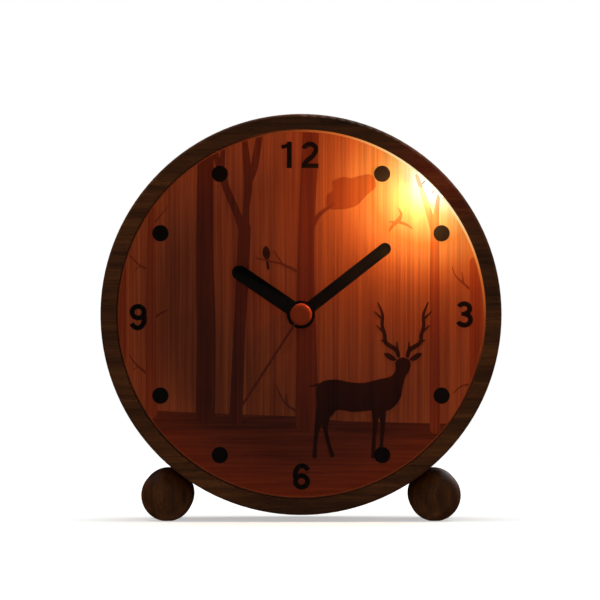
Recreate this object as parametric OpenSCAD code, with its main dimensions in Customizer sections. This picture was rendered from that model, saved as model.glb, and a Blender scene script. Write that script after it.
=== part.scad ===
// Round wooden alarm clock on ball feet, with a quartz alarm movement and a night light.
// Every piece is drawn on the bench: the dial faces +Z, 12 o'clock is +Y and z = 0 is the
// dial's front face. placed() then stands the clock up, facing -Y, on the floor at z = 0.

/* [Case] */
// Outer diameter of the wooden case ring
case_d = 115; // [112:1:140]
// Width of the ring's front face
face_w = 4.5; // [4:0.1:6]
// Depth of the ring, from its front face to its back edge
case_depth = 39; // [38.5:0.5:60]
// How far the front lip stands in from the bore, to hold the lens
lip_w = 0.8; // [0.6:0.1:1]
// Thickness of the front lip
lip_t = 1; // [0.8:0.1:2]
// Rounding of the ring's front edge
edge_r = 0.8; // [0.3:0.1:0.8]
// Rounding of the ring's back edge
back_edge_r = 0.4; // [0.2:0.1:0.4]

/* [Feet] */
// Diameter of a wooden ball foot
foot_d = 15; // [12:0.5:20]
// Angle of a foot from straight down, about the dial's centre
foot_angle = 36.5; // [30:0.5:45]
// Distance from the ring's front or back edge to a foot's centre
foot_inset = 9.5; // [8:0.5:11]
// Depth of the cope where a foot meets the ring
foot_seat = 0.15; // [0.1:0.05:0.6]
// Depth sanded off under a foot to make its flat
foot_flat = 0.15; // [0.1:0.05:0.5]
// Diameter of a foot's dowel
dowel_d = 3; // [2:0.5:4]
// Length of the dowel inside the ring's wall
dowel_in_ring = 2; // [1.5:0.25:2.5]
// Length of the dowel inside the foot
dowel_in_foot = 5; // [4:0.5:8]

/* [Lens and dial] */
// Thickness of the lens
lens_t = 2; // [1.5:0.1:3]
// Distance between the dial and the lens
dial_gap = 7.5; // [7:0.1:10]
// Width of the inner bezel that spaces the lens from the dial
bezel_w = 0.95; // [0.8:0.05:1.2]
// Thickness of the dial plate
dial_t = 0.5; // [0.3:0.1:1]
// Thickness of the chassis behind the dial
chassis_t = 2; // [1.5:0.1:3]
// Wall of the chassis drum
drum_wall = 1.2; // [1:0.1:2]

/* [Hands] */
// Time shown, hour hand, degrees clockwise from 12
hour_angle = 304.2; // [0:0.1:359.9]
// Time shown, minute hand, degrees clockwise from 12
minute_angle = 52; // [0:0.1:359.9]
// Time shown, second hand, degrees clockwise from 12
second_angle = 212.9; // [0:0.1:359.9]
// Alarm time, degrees clockwise from 12
alarm_angle = 304.2; // [0:0.1:359.9]
// Reach of the hour hand
hour_reach = 23.6; // [18:0.1:30]
// Width of the hour hand
hour_w = 4.4; // [3:0.1:6]
// Reach of the minute hand
minute_reach = 32.4; // [26:0.1:40]
// Width of the minute hand
minute_w = 3.5; // [2.5:0.1:5]
// Reach of the second hand
second_reach = 32; // [26:0.5:44]
// Width of the second hand
second_w = 0.7; // [0.5:0.05:1.2]
// Reach of the alarm hand
alarm_reach = 18; // [12:0.5:24]
// Width of the alarm hand
alarm_w = 1.8; // [1.2:0.1:3]
// Diameter of the boss in the middle of each hand
hub_d = 8.1; // [6:0.1:10]
// Thickness of the hour and minute hands
hand_t = 0.5; // [0.3:0.05:0.6]
// Height step from one hand to the next
hand_step = 1.25; // [1.1:0.05:1.3]
// Diameter of the domed cap on the second hand
cap_d = 6.3; // [5:0.1:9]
// Height of the domed cap
cap_h = 1.3; // [1:0.1:1.6]

/* [Gear train] */
// Tooth module of the going train
train_m = 0.3; // [0.28:0.01:0.36]
// Tooth module of the cannon pinion and motion wheel, over the going train's
cannon_ratio = 1.5; // [1.4:0.05:1.8]
// Tooth module of the alarm wheels, over the going train's
alarm_ratio = 1.35; // [1.3:0.05:1.5]
// Pressure angle of the teeth
press_angle = 30; // [25:1:30]
// Amount taken off each flank, so that teeth never touch both sides
tooth_play = 0.04; // [0.03:0.005:0.05]
// Thickness of a wheel
wheel_t = 0.9; // [0.7:0.1:1.1]
// Thickness of a pinion
pinion_t = 1.3; // [1.1:0.1:1.4]
// Diameter of the second hand's arbor
arbor_d = 1; // [0.8:0.1:1.2]
// Wall of the pipes that carry the other hands
pipe_wall = 0.65; // [0.5:0.05:0.8]
// Diameter of the two setting shafts
set_shaft_d = 2.4; // [2:0.1:2.6]
// Running clearance of a shaft in its hole
run_gap = 0.06; // [0.03:0.01:0.1]

/* [Movement box] */
// Thickness of the movement's front and back plates
plate_t = 1.2; // [1:0.1:2]
// Thickness of the middle plate
mid_plate_t = 1; // [0.8:0.1:1.5]
// Wall of the movement box
box_wall = 1.2; // [1:0.1:2]
// Room between the widest wheel and the wall
box_room = 0.6; // [0.4:0.1:1.5]
// Outer diameter of the screw columns
column_d = 5.2; // [4.6:0.1:6]
// Diameter of the rotor magnet
magnet_d = 4.8; // [4:0.1:5]
// Length of the coil between its cheeks
coil_len = 15; // [12:0.5:17]
// Diameter of the coil's cheeks
coil_d = 5.6; // [5:0.1:5.8]

/* [Rear cover] */
// Thickness of the rear cover
cover_t = 2.5; // [2.2:0.1:4]
// Diameter of the setting knobs
knob_d = 11; // [8:0.5:13]
// Height of the setting knobs
knob_h = 6.6; // [5.5:0.1:9]
// Diameter of the light and snooze button
button_d = 10; // [8:0.5:12]
// How far the button stands out of the cover
button_proud = 2.2; // [2:0.1:4]
// Travel of the button
button_travel = 1.5; // [1:0.1:1.8]
// Travel of the alarm switch
switch_travel = 4; // [2:0.5:4]

/* [Battery] */
// Diameter of the AA cell
cell_d = 14.5; // [13.8:0.1:14.6]
// Length of the AA cell with its terminal
cell_l = 50.5; // [49:0.1:50.5]
// Distance of the cell below the dial's centre
cell_drop = 31; // [30.5:0.5:32]
// Room at each end of the cell for its contact
contact_room = 3; // [2.5:0.1:3.2]
// Wall of the battery bay
bay_wall = 1.3; // [1:0.1:1.6]
// Thickness of the battery door
door_t = 1.4; // [1:0.1:1.6]
// Travel of the door before it lifts off
door_travel = 3.5; // [2:0.5:5]

/* [Fits] */
// Clearance around pieces that drop into the case
seat_gap = 0.15; // [0.1:0.05:0.3]
// Clearance around pieces that slide
slide_gap = 0.2; // [0.15:0.05:0.3]

/* [Hidden] */
$fn = 96;
eps = 0.01;

// Case: depths are z on the bench
case_r = case_d / 2;
window_r = case_r - face_w;
bore_r = window_r + lip_w;
front_z = lip_t + lens_t + dial_gap;
cover_z = front_z - case_depth;
rear_z = cover_z - cover_t;
knob_clear = 0.4;
knob_z = rear_z - knob_clear - knob_h;
drop_in_r = bore_r - seat_gap;

// Feet, and how high they hold the dial's centre
foot_r = foot_d / 2;
foot_dist = case_r + foot_r - foot_seat;
centre_h = foot_dist * cos(foot_angle) + foot_r - foot_flat;
dial_y = (front_z + knob_z) / 2;
foot_front_z = front_z - foot_inset;
foot_rear_z = cover_z + foot_inset;

// Night light, at half past one
light_angle = 45;
led_board_w = 9;
led_board_t = 0.9;
led_board_h = 6;
led_board_z = 0.8;
led_board_r = drop_in_r - bezel_w - 0.1;
led_size = [1.4, 3.5, 2.8];
bezel_notch = led_board_w + 1;
rim_cut = 8;
wire_d = 0.8;
wire_notch = 4;
wire_notch_in = 2.4;
wire_notch_depth = 8;

// Tooth counts
rotor_n = 8;
inter_n = 32;
inter_pinion_n = 8;
second_n = 60;
second_pinion_n = 8;
third_n = 60;
third_pinion_n = 8;
centre_n = 64;
cannon_n = 12;
motion_n = 36;
motion_pinion_n = 10;
hour_n = 40;
alarm_pinion_n = 12;
alarm_n = 48;
addendum = 0.7;
dedendum = 1;

// Centre distances, and the modules that must give the same distance
function mesh_dist(m, n1, n2) = m * (n1 + n2) / 2;
third_dist = mesh_dist(train_m, second_pinion_n, third_n);
centre_m = 2 * third_dist / (third_pinion_n + centre_n);
inter_dist = mesh_dist(train_m, inter_pinion_n, second_n);
rotor_dist = mesh_dist(train_m, rotor_n, inter_n);
cannon_m = cannon_ratio * train_m;
motion_dist = mesh_dist(cannon_m, cannon_n, motion_n);
hour_m = 2 * motion_dist / (motion_pinion_n + hour_n);
alarm_m = alarm_ratio * train_m;
alarm_dist = mesh_dist(alarm_m, alarm_pinion_n, alarm_n);

// Where each arbor stands, as a direction from the centre and a place
third_dir = 100;
inter_dir = 0;
motion_dir = 220;
alarm_dir = 320;
function polar(r, a) = [r * cos(a), r * sin(a)];
third_at = polar(third_dist, third_dir);
inter_at = polar(inter_dist, inter_dir);
rotor_at = inter_at + polar(rotor_dist, inter_dir);
motion_at = polar(motion_dist, motion_dir);
alarm_at = polar(alarm_dist, alarm_dir);

// Coaxial arbor and pipes at the centre
arbor_r = arbor_d / 2;
minute_pipe_in = arbor_r + run_gap;
minute_pipe_out = minute_pipe_in + pipe_wall;
hour_pipe_in = minute_pipe_out + run_gap;
hour_pipe_out = hour_pipe_in + pipe_wall;
alarm_pipe_in = hour_pipe_out + run_gap;
alarm_pipe_out = alarm_pipe_in + pipe_wall;
bush_in = alarm_pipe_out + run_gap;
bush_out = bush_in + 2 * pipe_wall;
set_shaft_r = set_shaft_d / 2;
pivot_r = 0.5;

// Heights of the hands above the dial
bush_top = 0.8;
alarm_hand_z = bush_top + 0.2;
hour_hand_z = alarm_hand_z + hand_step;
minute_hand_z = hour_hand_z + hand_step;
second_hand_z = minute_hand_z + hand_step;
second_hand_t = 0.3;

// Levels of the wheels behind the dial: each is the level's front face
level_gap = 0.6;
movement_z = -dial_t - chassis_t;
alarm_level = movement_z - plate_t - 0.4;
hour_level = alarm_level - wheel_t - level_gap;
motion_level = hour_level - wheel_t - level_gap;
middle_z = motion_level - wheel_t - level_gap;
centre_level = middle_z - mid_plate_t - 0.4;
clutch_t = 0.2;
clutch_z = centre_level - wheel_t - run_gap;
third_level = centre_level - wheel_t - 1.2;
second_level = third_level - wheel_t - level_gap;
stator_t = 1;
stator_z = second_level - 0.4;
core_t = 1;
coil_z = stator_z + core_t / 2;
back_z = min(second_level - wheel_t - 1.6, coil_z - coil_d / 2 - seat_gap);
set_shaft_end = rear_z - knob_clear - knob_h + 2;

// Movement box, sized from the wheels that it holds
function tip_r(n, m) = n * m / 2 + addendum * m;
coil_at = rotor_at + [8.4, 0];
box_x0 = motion_at[0] - tip_r(motion_n, cannon_m) - box_room - box_wall;
box_x1 = coil_at[0] + coil_d / 2 + box_room + box_wall;
box_y0 = motion_at[1] - tip_r(motion_n, cannon_m) - box_room - box_wall;
box_y1 = third_at[1] + tip_r(third_n, train_m) + box_room + box_wall;
column_in = 1;
column_x = [box_x0 + column_in, box_x1 - column_in];
column_y = [box_y0 + column_in, box_y1 - column_in];
box_corners = [for (i = [[0, 0], [1, 0], [1, 1], [0, 1]]) [column_x[i[0]], column_y[i[1]]]];
movement_screw_r = 1;
screw_head_r = 1.9;
screw_head_t = 1.2;
lead_notch = [4, 2];
lead_notch_x = box_x0 + 5.5;

// Motor: the rotor turns in a hole in the stator, and the coil bridges its two legs
stator_hole_r = magnet_d / 2 + 0.35;
stator_reach = 13;
stator_leg_w = 3.4;
stator_w = 7.2;
core_w = 3;
bobbin_wall = 1;
bobbin_d = core_w + 0.8;
winding_d = coil_d - 0.8;

// Timer board, between the alarm shaft and the box wall
timer_board_t = 1;
timer_board_size = [5, 14];
timer_board_at = [box_x0 + box_wall + 0.3 + timer_board_size[0] / 2, 3.5];
timer_post_y = timer_board_size[1] / 2 - 1.2;
timer_board_z = third_level;

// Rear cover and what works through it
cover_r = case_r - 0.2;
cover_screw_d = 1.8;
cover_screw_at = (bore_r + case_r) / 2;
cover_screw_len = 7.5;
cover_head_r = 1.5;
knob_dish_t = 0.6;
knob_flutes = 18;
board_size = [36, 17];
board_t = 1.6;
board_y = 35.5;
board_z = cover_z + 9.1;
board_screw_x = board_size[0] / 2 - 2;
board_screw_y = board_y - 5.5;
board_screw_r = 0.8;
sound_hole_y = 20;
sound_hole_ring = 3.6;
sound_hole_r = 0.8;
button_x = 8;
slider_x = -9;
tact_size = [6, 6, 3.5];
tact_plunger_r = 1.75;
tact_plunger_t = 0.8;
button_flange_w = 1.4;
button_flange_t = 1.4;
slider_size = [5, 3.4];
slider_flange = [8, 6.4];
slider_proud = 1.6;
slider_flange_t = 1;

// Battery bay
cell_r = cell_d / 2;
bay_gap = 0.5;
bay_in = [cell_l + 2 * contact_room, cell_d + 2 * bay_gap];
door_lap = 1.8;
door_size = [bay_in[0] + 2 * door_lap, bay_in[1] + 2 * door_lap];
cell_z = rear_z + door_t + 0.4 + cell_r;
bay_floor_z = cell_z + cell_r + bay_gap;
contact_t = 0.4;

// ---- Helpers ------------------------------------------------------------------------------

// Stands the clock up on its feet, facing -Y
module placed() {
    translate([0, dial_y, centre_h]) rotate([90, 0, 0]) children();
}

// Ring or disc between two radii and two heights
module ring(r_out, r_in, z0, z1) {
    translate([0, 0, z0]) difference() {
        cylinder(h = z1 - z0, r = r_out);
        if (r_in > 0) translate([0, 0, -eps]) cylinder(h = z1 - z0 + 2 * eps, r = r_in);
    }
}

module rod(r, z0, z1) {
    translate([0, 0, z0]) cylinder(h = z1 - z0, r = r);
}

// Box centred on a point in plan, between two heights
module block(at, size, z0, z1) {
    translate([at[0] - size[0] / 2, at[1] - size[1] / 2, z0]) cube([size[0], size[1], z1 - z0]);
}

// Plan outline of a rectangle with round corners
module rounded(size, r) {
    square([size[0] - 2 * r, size[1]], center = true);
    square([size[0], size[1] - 2 * r], center = true);
    for (x = [-1, 1], y = [-1, 1]) {
        translate([x * (size[0] / 2 - r), y * (size[1] / 2 - r)]) circle(r);
    }
}

module rounded_block(at, size, r, z0, z1) {
    translate([at[0], at[1], z0]) linear_extrude(z1 - z0) rounded(size, r);
}

// Screw with a pan head and a cross recess; its head sits behind z = 0 and it points to +Z
module screw(r, len, head_r, head_t) {
    difference() {
        union() {
            rod(r, -eps, len);
            rod(head_r, -head_t, 0);
        }
        for (a = [0, 90]) {
            rotate(a) block([0, 0], [head_r * 1.3, 0.4], -head_t - eps, -head_t / 2);
        }
    }
}

// Tooth flanks are involutes of a circle, drawn as short chords
function involute(a) = tan(a) * 180 / PI - a;
function base_r(n, m) = n * m / 2 * cos(press_angle);
function half_tooth(n, m, r) =
    90 / n - tooth_play / (n * m / 2) * 180 / PI + involute(press_angle)
    - involute(acos(min(1, base_r(n, m) / r)));
function flank_radii(n, m) =
    let (root = n * m / 2 - dedendum * m, base = base_r(n, m))
    root < base ? [root, base, n * m / 2, tip_r(n, m)] : [root, n * m / 2, tip_r(n, m)];
function flank(n, m, mid, side) = [
    for (r = flank_radii(n, m)) polar(r, mid + side * half_tooth(n, m, max(r, base_r(n, m))))
];
function reversed(list) = [for (i = [len(list) - 1 : -1 : 0]) list[i]];
function tooth_outline(n, m) = [
    for (i = [0 : n - 1])
        each concat(flank(n, m, i * 360 / n, -1), reversed(flank(n, m, i * 360 / n, 1)))
];

// Pinion with a tooth, or a gap, that points along one direction; z is its front face
module pinion(n, m, z, t, tooth_to) {
    translate([0, 0, z - t]) linear_extrude(t) rotate(tooth_to) polygon(tooth_outline(n, m));
}

// The turn that puts a gap, in place of a tooth, along one direction
function gap_to(n, direction) = direction + 180 / n;

// Wheel with round openings between its hub and its rim
module wheel(n, m, z, tooth_to, bore = 0) {
    openings = 5;
    opening_r = n * m * 0.125;
    difference() {
        pinion(n, m, z, wheel_t, tooth_to);
        for (i = [0 : openings - 1]) {
            translate(polar(n * m * 0.29, i * 360 / openings)) ring(opening_r, 0, z - wheel_t - eps, z + eps);
        }
        if (bore > 0) rod(bore, z - wheel_t - eps, z + eps);
    }
}

// Hand with a round boss, a straight arm and a round tip, on its pipe
module hand(angle, reach, w, boss_d, z, t, bore) {
    translate([0, 0, z]) rotate(90 - angle) linear_extrude(t) difference() {
        union() {
            circle(d = boss_d);
            translate([0, -w / 2]) square([reach - w / 2, w]);
            translate([reach - w / 2, 0]) circle(d = w);
        }
        circle(bore);
    }
}

// Tube swept along a path, ring by ring. Each ring keeps the turn of the one before it
function unit(v) = v / norm(v);
function heading(path, i) = unit(path[min(i + 1, len(path) - 1)] - path[max(i - 1, 0)]);
function carried(side, along) = unit(side - (side * along) * along);
function sides_along(path, i, side) =
    i == len(path) ? [] :
    let (here = carried(side, heading(path, i))) concat([here], sides_along(path, i + 1, here));
function tube_ring(centre, side, top, r, sides) = [
    for (k = [0 : sides - 1]) centre + r * (cos(360 * k / sides) * side + sin(360 * k / sides) * top)
];
module tube(path, d, first_side, sides = 8) {
    rings = len(path);
    side = sides_along(path, 0, first_side);
    top = [for (i = [0 : rings - 1]) cross(side[i], heading(path, i))];
    walls = [
        for (i = [0 : rings - 2], k = [0 : sides - 1]) let (next = (k + 1) % sides)
            [i * sides + k, i * sides + next, (i + 1) * sides + next, (i + 1) * sides + k]
    ];
    first_cap = [for (k = [sides - 1 : -1 : 0]) k];
    last_cap = [for (k = [0 : sides - 1]) (rings - 1) * sides + k];
    polyhedron(
        [for (i = [0 : rings - 1]) each tube_ring(path[i], side[i], top[i], d / 2, sides)],
        concat(walls, [first_cap, last_cap])
    );
}

// Smooth path through a route's points
function curve_point(a, b, c, d, t) =
    0.5 * ((2 * b) + (c - a) * t + (2 * a - 5 * b + 4 * c - d) * t * t + (3 * b - a - 3 * c + d) * t * t * t);
function smooth(route, steps) =
    let (last = len(route) - 1) [
        for (i = [0 : last - 1], s = [0 : steps - 1])
            curve_point(route[max(i - 1, 0)], route[i], route[i + 1], route[min(i + 2, last)], s / steps),
        route[last]
    ];

// ---- Case and front -----------------------------------------------------------------------

// Section through the ring: wall and lip, with round outer edges
module ring_section() {
    difference() {
        union() {
            translate([bore_r, cover_z]) square([case_r - bore_r, case_depth]);
            translate([window_r, front_z - lip_t]) square([case_r - window_r, lip_t]);
        }
        translate([case_r - edge_r, front_z - edge_r]) square(edge_r + eps);
        translate([case_r - back_edge_r, cover_z - eps]) square(back_edge_r + eps);
    }
    translate([case_r - edge_r, front_z - edge_r]) circle(edge_r);
    translate([case_r - back_edge_r, cover_z + back_edge_r]) circle(back_edge_r);
}

module at_feet() {
    for (side = [-1, 1], z = [foot_front_z, foot_rear_z]) {
        rotate(-90 + side * foot_angle) translate([0, 0, z]) children();
    }
}

// Rod along the radius at a foot, for the dowel and its holes
module foot_rod(r0, r1) {
    translate([r0, 0, 0]) rotate([0, 90, 0]) cylinder(h = r1 - r0, d = dowel_d);
}

module case_ring() {
    color("#43250f") difference() {
        rotate_extrude() ring_section();
        at_feet() foot_rod(case_r - dowel_in_ring, case_r + 1);
        for (i = [0 : 3]) {
            rotate(i * 90 + 45) translate([cover_screw_at, 0]) {
                rod(cover_screw_d / 2, cover_z - eps, cover_z + cover_screw_len + 0.5);
            }
        }
    }
}

module foot(side, z) {
    color("#3a1f0d") difference() {
        rotate(-90 + side * foot_angle) translate([foot_dist, 0, z]) sphere(foot_r);
        rod(case_r, z - foot_d, z + foot_d);
        translate([-case_r, -centre_h - foot_d, z - foot_d]) cube([case_d, foot_d, 2 * foot_d]);
        rotate(-90 + side * foot_angle) translate([0, 0, z]) foot_rod(case_r - 1, case_r + dowel_in_foot);
    }
}

module foot_front_left() foot(-1, foot_front_z);
module foot_front_right() foot(1, foot_front_z);
module foot_rear_left() foot(-1, foot_rear_z);
module foot_rear_right() foot(1, foot_rear_z);

module foot_dowels() {
    color("#c9a06a") at_feet() foot_rod(case_r - dowel_in_ring, case_r + dowel_in_foot);
}

module lens() {
    color("#dfe8ea") ring(drop_in_r, 0, dial_gap, dial_gap + lens_t);
}

module at_light(r, z) {
    rotate(light_angle) translate([r, 0, z]) children();
}

// Spacer between the dial and the lens, open where the night light's board stands
module inner_bezel() {
    color("#2b1508") difference() {
        ring(drop_in_r, drop_in_r - bezel_w, 0, dial_gap);
        at_light(drop_in_r - rim_cut / 2, -eps) {
            translate([0, -bezel_notch / 2]) cube([rim_cut, bezel_notch, dial_gap + 2 * eps]);
        }
    }
}

// Slot at the rim for the night light's wires
module wire_slot(z0, z1) {
    at_light(drop_in_r - wire_notch_in, z0) {
        translate([0, -wire_notch / 2]) cube([rim_cut, wire_notch, z1 - z0]);
    }
}

module dial_plate() {
    color("#7d3a14") difference() {
        ring(drop_in_r, bush_out + seat_gap, -dial_t, 0);
        wire_slot(-dial_t - eps, eps);
    }
}

// Drum that carries the movement and presses the dial against the bezel and the lens
module chassis() {
    color("#e8e2d4") difference() {
        union() {
            ring(drop_in_r, bush_out + seat_gap, movement_z, -dial_t);
            ring(drop_in_r, drop_in_r - drum_wall, cover_z, movement_z + eps);
        }
        wire_slot(-dial_t - wire_notch_depth, -dial_t + eps);
        for (at = box_corners) translate(at) rod(movement_screw_r, movement_z - eps, -dial_t + eps);
    }
}

// ---- Night light --------------------------------------------------------------------------

module led_board() {
    color("#f1efe6") at_light(led_board_r, led_board_z) {
        translate([0, -led_board_w / 2]) cube([led_board_t, led_board_w, led_board_h]);
    }
}

module night_light_led() {
    color("#ffd27a") at_light(led_board_r - led_size[0], led_board_z + (led_board_h - led_size[2]) / 2) {
        translate([0, -led_size[1] / 2]) cube(led_size);
    }
}

// Two leads from the light's board back to the control board: side by side along the rim in
// their slot, then one above the other
module led_wires() {
    rim = led_board_r + led_board_t / 2;
    out = polar(1, light_angle);
    lead_gap = 0.75;
    slot_points = 3;
    board_end = [14, board_y + 4, board_z + 0.1];
    route = [
        concat(rim * out, [led_board_z]), concat(rim * out, [-dial_t - 2]),
        concat((rim - 0.8) * out, [-dial_t - 5]), concat((rim - 4) * out, [-dial_t - 8]),
        concat((rim - 8) * out, [-dial_t - 12]),
        board_end + [5, 0, 4], board_end + [1.6, 0, 2.2], board_end
    ];
    for (side = [-1, 1]) {
        lead = [
            for (i = [0 : len(route) - 1])
                route[i] + side * lead_gap * (i < slot_points ? [-out[1], out[0], 0] : [0, 1, 0])
        ];
        color(side < 0 ? "#b3201a" : "#1c1c1e") tube(smooth(lead, 4), wire_d, [1, 0, 0]);
    }
}

// ---- Movement box -------------------------------------------------------------------------

module box_plan(inset) {
    size = [box_x1 - box_x0, box_y1 - box_y0] - 2 * [inset, inset];
    translate([box_x0 + inset, box_y0 + inset]) square(size);
}

module movement_housing() {
    outer_h = movement_z - back_z;
    color("#ece8df") difference() {
        union() {
            translate([0, 0, back_z]) difference() {
                linear_extrude(outer_h) box_plan(0);
                translate([0, 0, -eps]) linear_extrude(outer_h - plate_t + eps) box_plan(box_wall);
            }
            for (at = box_corners) translate(at) rod(column_d / 2, back_z, movement_z);
            rod(bush_out, movement_z - eps, bush_top);
        }
        rod(bush_in, movement_z - plate_t - eps, bush_top + eps);
        for (at = box_corners) {
            translate(at) rod(movement_screw_r + 0.1, back_z - eps, movement_z + eps);
        }
        for (at = [motion_at, alarm_at]) {
            translate(at) rod(pivot_r + run_gap, movement_z - plate_t - eps, movement_z + eps);
        }
        block([lead_notch_x, box_y1], [lead_notch[0], 3 * box_wall], back_z - eps, back_z + lead_notch[1]);
    }
}

// Holes in a plate for the arbors that end in it and the shafts that pass it
module arbor_holes(z0, z1, shaft_gap) {
    for (at = [third_at, inter_at, rotor_at]) translate(at) rod(pivot_r + run_gap, z0 - eps, z1 + eps);
    for (at = [motion_at, alarm_at]) translate(at) rod(set_shaft_r + shaft_gap, z0 - eps, z1 + eps);
}

module middle_plate() {
    color("#d9d4c8") difference() {
        translate([0, 0, middle_z - mid_plate_t]) linear_extrude(mid_plate_t) box_plan(box_wall + seat_gap);
        for (at = box_corners) {
            translate(at) rod(column_d / 2 + seat_gap, middle_z - mid_plate_t - eps, middle_z + eps);
        }
        rod(minute_pipe_out + run_gap, middle_z - mid_plate_t - eps, middle_z + eps);
        arbor_holes(middle_z - mid_plate_t, middle_z, 0.3);
    }
}

// Plate that closes the movement box, with posts for the timer board
module movement_back() {
    color("#ece8df") difference() {
        union() {
            translate([0, 0, back_z - plate_t]) linear_extrude(plate_t) box_plan(0);
            for (at = box_corners) translate(at) rod(column_d / 2, back_z - plate_t, back_z);
            for (side = [-1, 1]) {
                translate(timer_board_at + [0, side * timer_post_y]) {
                    rod(0.9, back_z - eps, timer_board_z - timer_board_t);
                }
            }
        }
        for (at = box_corners) {
            translate(at) rod(movement_screw_r + 0.1, back_z - plate_t - eps, back_z + eps);
        }
        rod(arbor_r + run_gap, back_z - plate_t - eps, back_z + eps);
        arbor_holes(back_z - plate_t, back_z, run_gap);
    }
}

module movement_screws() {
    color("#b9bcc0") for (at = box_corners) {
        translate([at[0], at[1], back_z - plate_t]) {
            screw(movement_screw_r, -dial_t - back_z + plate_t - 0.3, screw_head_r, screw_head_t);
        }
    }
}

module timer_board() {
    color("#1f6b3a") block(timer_board_at, timer_board_size, timer_board_z - timer_board_t, timer_board_z);
}

module timer_chip() {
    color("#16161a") translate([timer_board_at[0], timer_board_at[1] + 2.6, timer_board_z]) {
        rod(1.9, 0, 0.5);
        intersection() {
            translate([0, 0, -2.4]) sphere(3.5);
            rod(1.9, 0.5 - eps, 2);
        }
    }
}

module quartz_crystal() {
    can_r = 1;
    can_len = 6;
    color("#c9ccd1") translate([timer_board_at[0], timer_board_at[1] - 0.6, timer_board_z + can_r]) {
        rotate([90, 0, 0]) cylinder(h = can_len, r = can_r);
    }
}

// ---- Motor --------------------------------------------------------------------------------

module stator() {
    leg_x1 = coil_at[0] + core_w / 2;
    color("#9aa0a8") translate([0, 0, stator_z - stator_t]) linear_extrude(stator_t) difference() {
        union() {
            translate([rotor_at[0] - stator_w / 2, -stator_reach]) square([stator_w, 2 * stator_reach]);
            for (side = [-1, 1]) {
                translate([rotor_at[0], side * (stator_reach - stator_leg_w / 2) - stator_leg_w / 2]) {
                    square([leg_x1 - rotor_at[0], stator_leg_w]);
                }
            }
        }
        translate(rotor_at) circle(stator_hole_r);
    }
}

module coil_core() {
    color("#8b9098") block(coil_at, [core_w, 2 * stator_reach], stator_z, stator_z + core_t);
}

// Runs along Y, around the middle of the core
module along_coil(y0, y1, d, bore) {
    translate([coil_at[0], y1, coil_z]) rotate([90, 0, 0]) difference() {
        cylinder(h = y1 - y0, d = d);
        translate([-core_w / 2, -core_t / 2, -eps]) cube([core_w, core_t, y1 - y0 + 2 * eps]);
        if (bore > 0) translate([0, 0, -eps]) cylinder(h = y1 - y0 + 2 * eps, d = bore);
    }
}

module coil_bobbin() {
    end_y = coil_len / 2 + bobbin_wall;
    color("#2a2a2d") {
        along_coil(-end_y, -coil_len / 2, coil_d, 0);
        along_coil(-coil_len / 2 - eps, coil_len / 2 + eps, bobbin_d, 0);
        along_coil(coil_len / 2, end_y, coil_d, 0);
    }
}

module coil_winding() {
    color("#b4632a") along_coil(-coil_len / 2, coil_len / 2, winding_d, bobbin_d);
}

module rotor_magnet() {
    overhang = 0.4;
    color("#4a4d52") translate(rotor_at)
        ring(magnet_d / 2, pivot_r, stator_z - stator_t - overhang, stator_z + overhang);
}

module rotor_pinion() {
    color("#f2efe4") translate(rotor_at) {
        pinion(rotor_n, train_m, third_level + 0.2, pinion_t, gap_to(rotor_n, inter_dir + 180));
        rod(pivot_r, back_z - plate_t + 0.2, middle_z - 0.2);
    }
}

// ---- Going train --------------------------------------------------------------------------

module intermediate_wheel() {
    color("#f2efe4") translate(inter_at) {
        wheel(inter_n, train_m, third_level, inter_dir);
        pinion(
            inter_pinion_n, train_m, second_level + 0.2, pinion_t, gap_to(inter_pinion_n, inter_dir + 180)
        );
        rod(pivot_r, back_z - plate_t + 0.2, middle_z - 0.2);
    }
}

module second_wheel() {
    color("#e9c46a") {
        wheel(second_n, train_m, second_level, inter_dir);
        pinion(second_pinion_n, train_m, third_level + 0.2, pinion_t, gap_to(second_pinion_n, third_dir));
        rod(arbor_r, back_z - plate_t + 0.2, second_hand_z + second_hand_t + 0.4);
    }
}

module third_wheel() {
    color("#f2efe4") translate(third_at) {
        wheel(third_n, train_m, third_level, third_dir + 180);
        pinion(
            third_pinion_n, centre_m, centre_level + 0.2, pinion_t, gap_to(third_pinion_n, third_dir + 180)
        );
        rod(pivot_r, back_z - plate_t + 0.2, middle_z - 0.2);
    }
}

// Turns on the minute pipe; only the clutch spring's grip makes the two turn together
module centre_wheel() {
    color("#e9c46a") wheel(centre_n, centre_m, centre_level, third_dir, minute_pipe_out + run_gap);
}

module clutch_spring() {
    leaf_r = 3.6;
    color("#c8a24a") translate([0, 0, clutch_z - clutch_t]) linear_extrude(clutch_t) difference() {
        union() {
            circle(minute_pipe_out + 0.7);
            for (a = [0, 120, 240]) rotate(a) translate([0, -0.6]) square([leaf_r, 1.2]);
        }
        circle(minute_pipe_out);
    }
}

// Cannon pinion and the pipe that carries the minute hand
module minute_pipe() {
    color("#e9c46a") difference() {
        union() {
            rod(minute_pipe_out, clutch_z - clutch_t - 0.1, minute_hand_z + hand_t);
            pinion(cannon_n, cannon_m, motion_level + 0.2, pinion_t, gap_to(cannon_n, motion_dir));
        }
        rod(minute_pipe_in, clutch_z - 1, minute_hand_z + hand_t + eps);
    }
}

// Shaft of a setting knob, with a thin pivot at its front end
module set_shaft(step_z) {
    rod(set_shaft_r, set_shaft_end, step_z);
    rod(pivot_r, step_z - eps, movement_z - 0.2);
}

module motion_wheel() {
    color("#f2efe4") translate(motion_at) {
        wheel(motion_n, cannon_m, motion_level, motion_dir + 180);
        pinion(
            motion_pinion_n, hour_m, hour_level + 0.2, pinion_t, gap_to(motion_pinion_n, motion_dir + 180)
        );
        set_shaft(motion_level - wheel_t / 2);
    }
}

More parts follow.
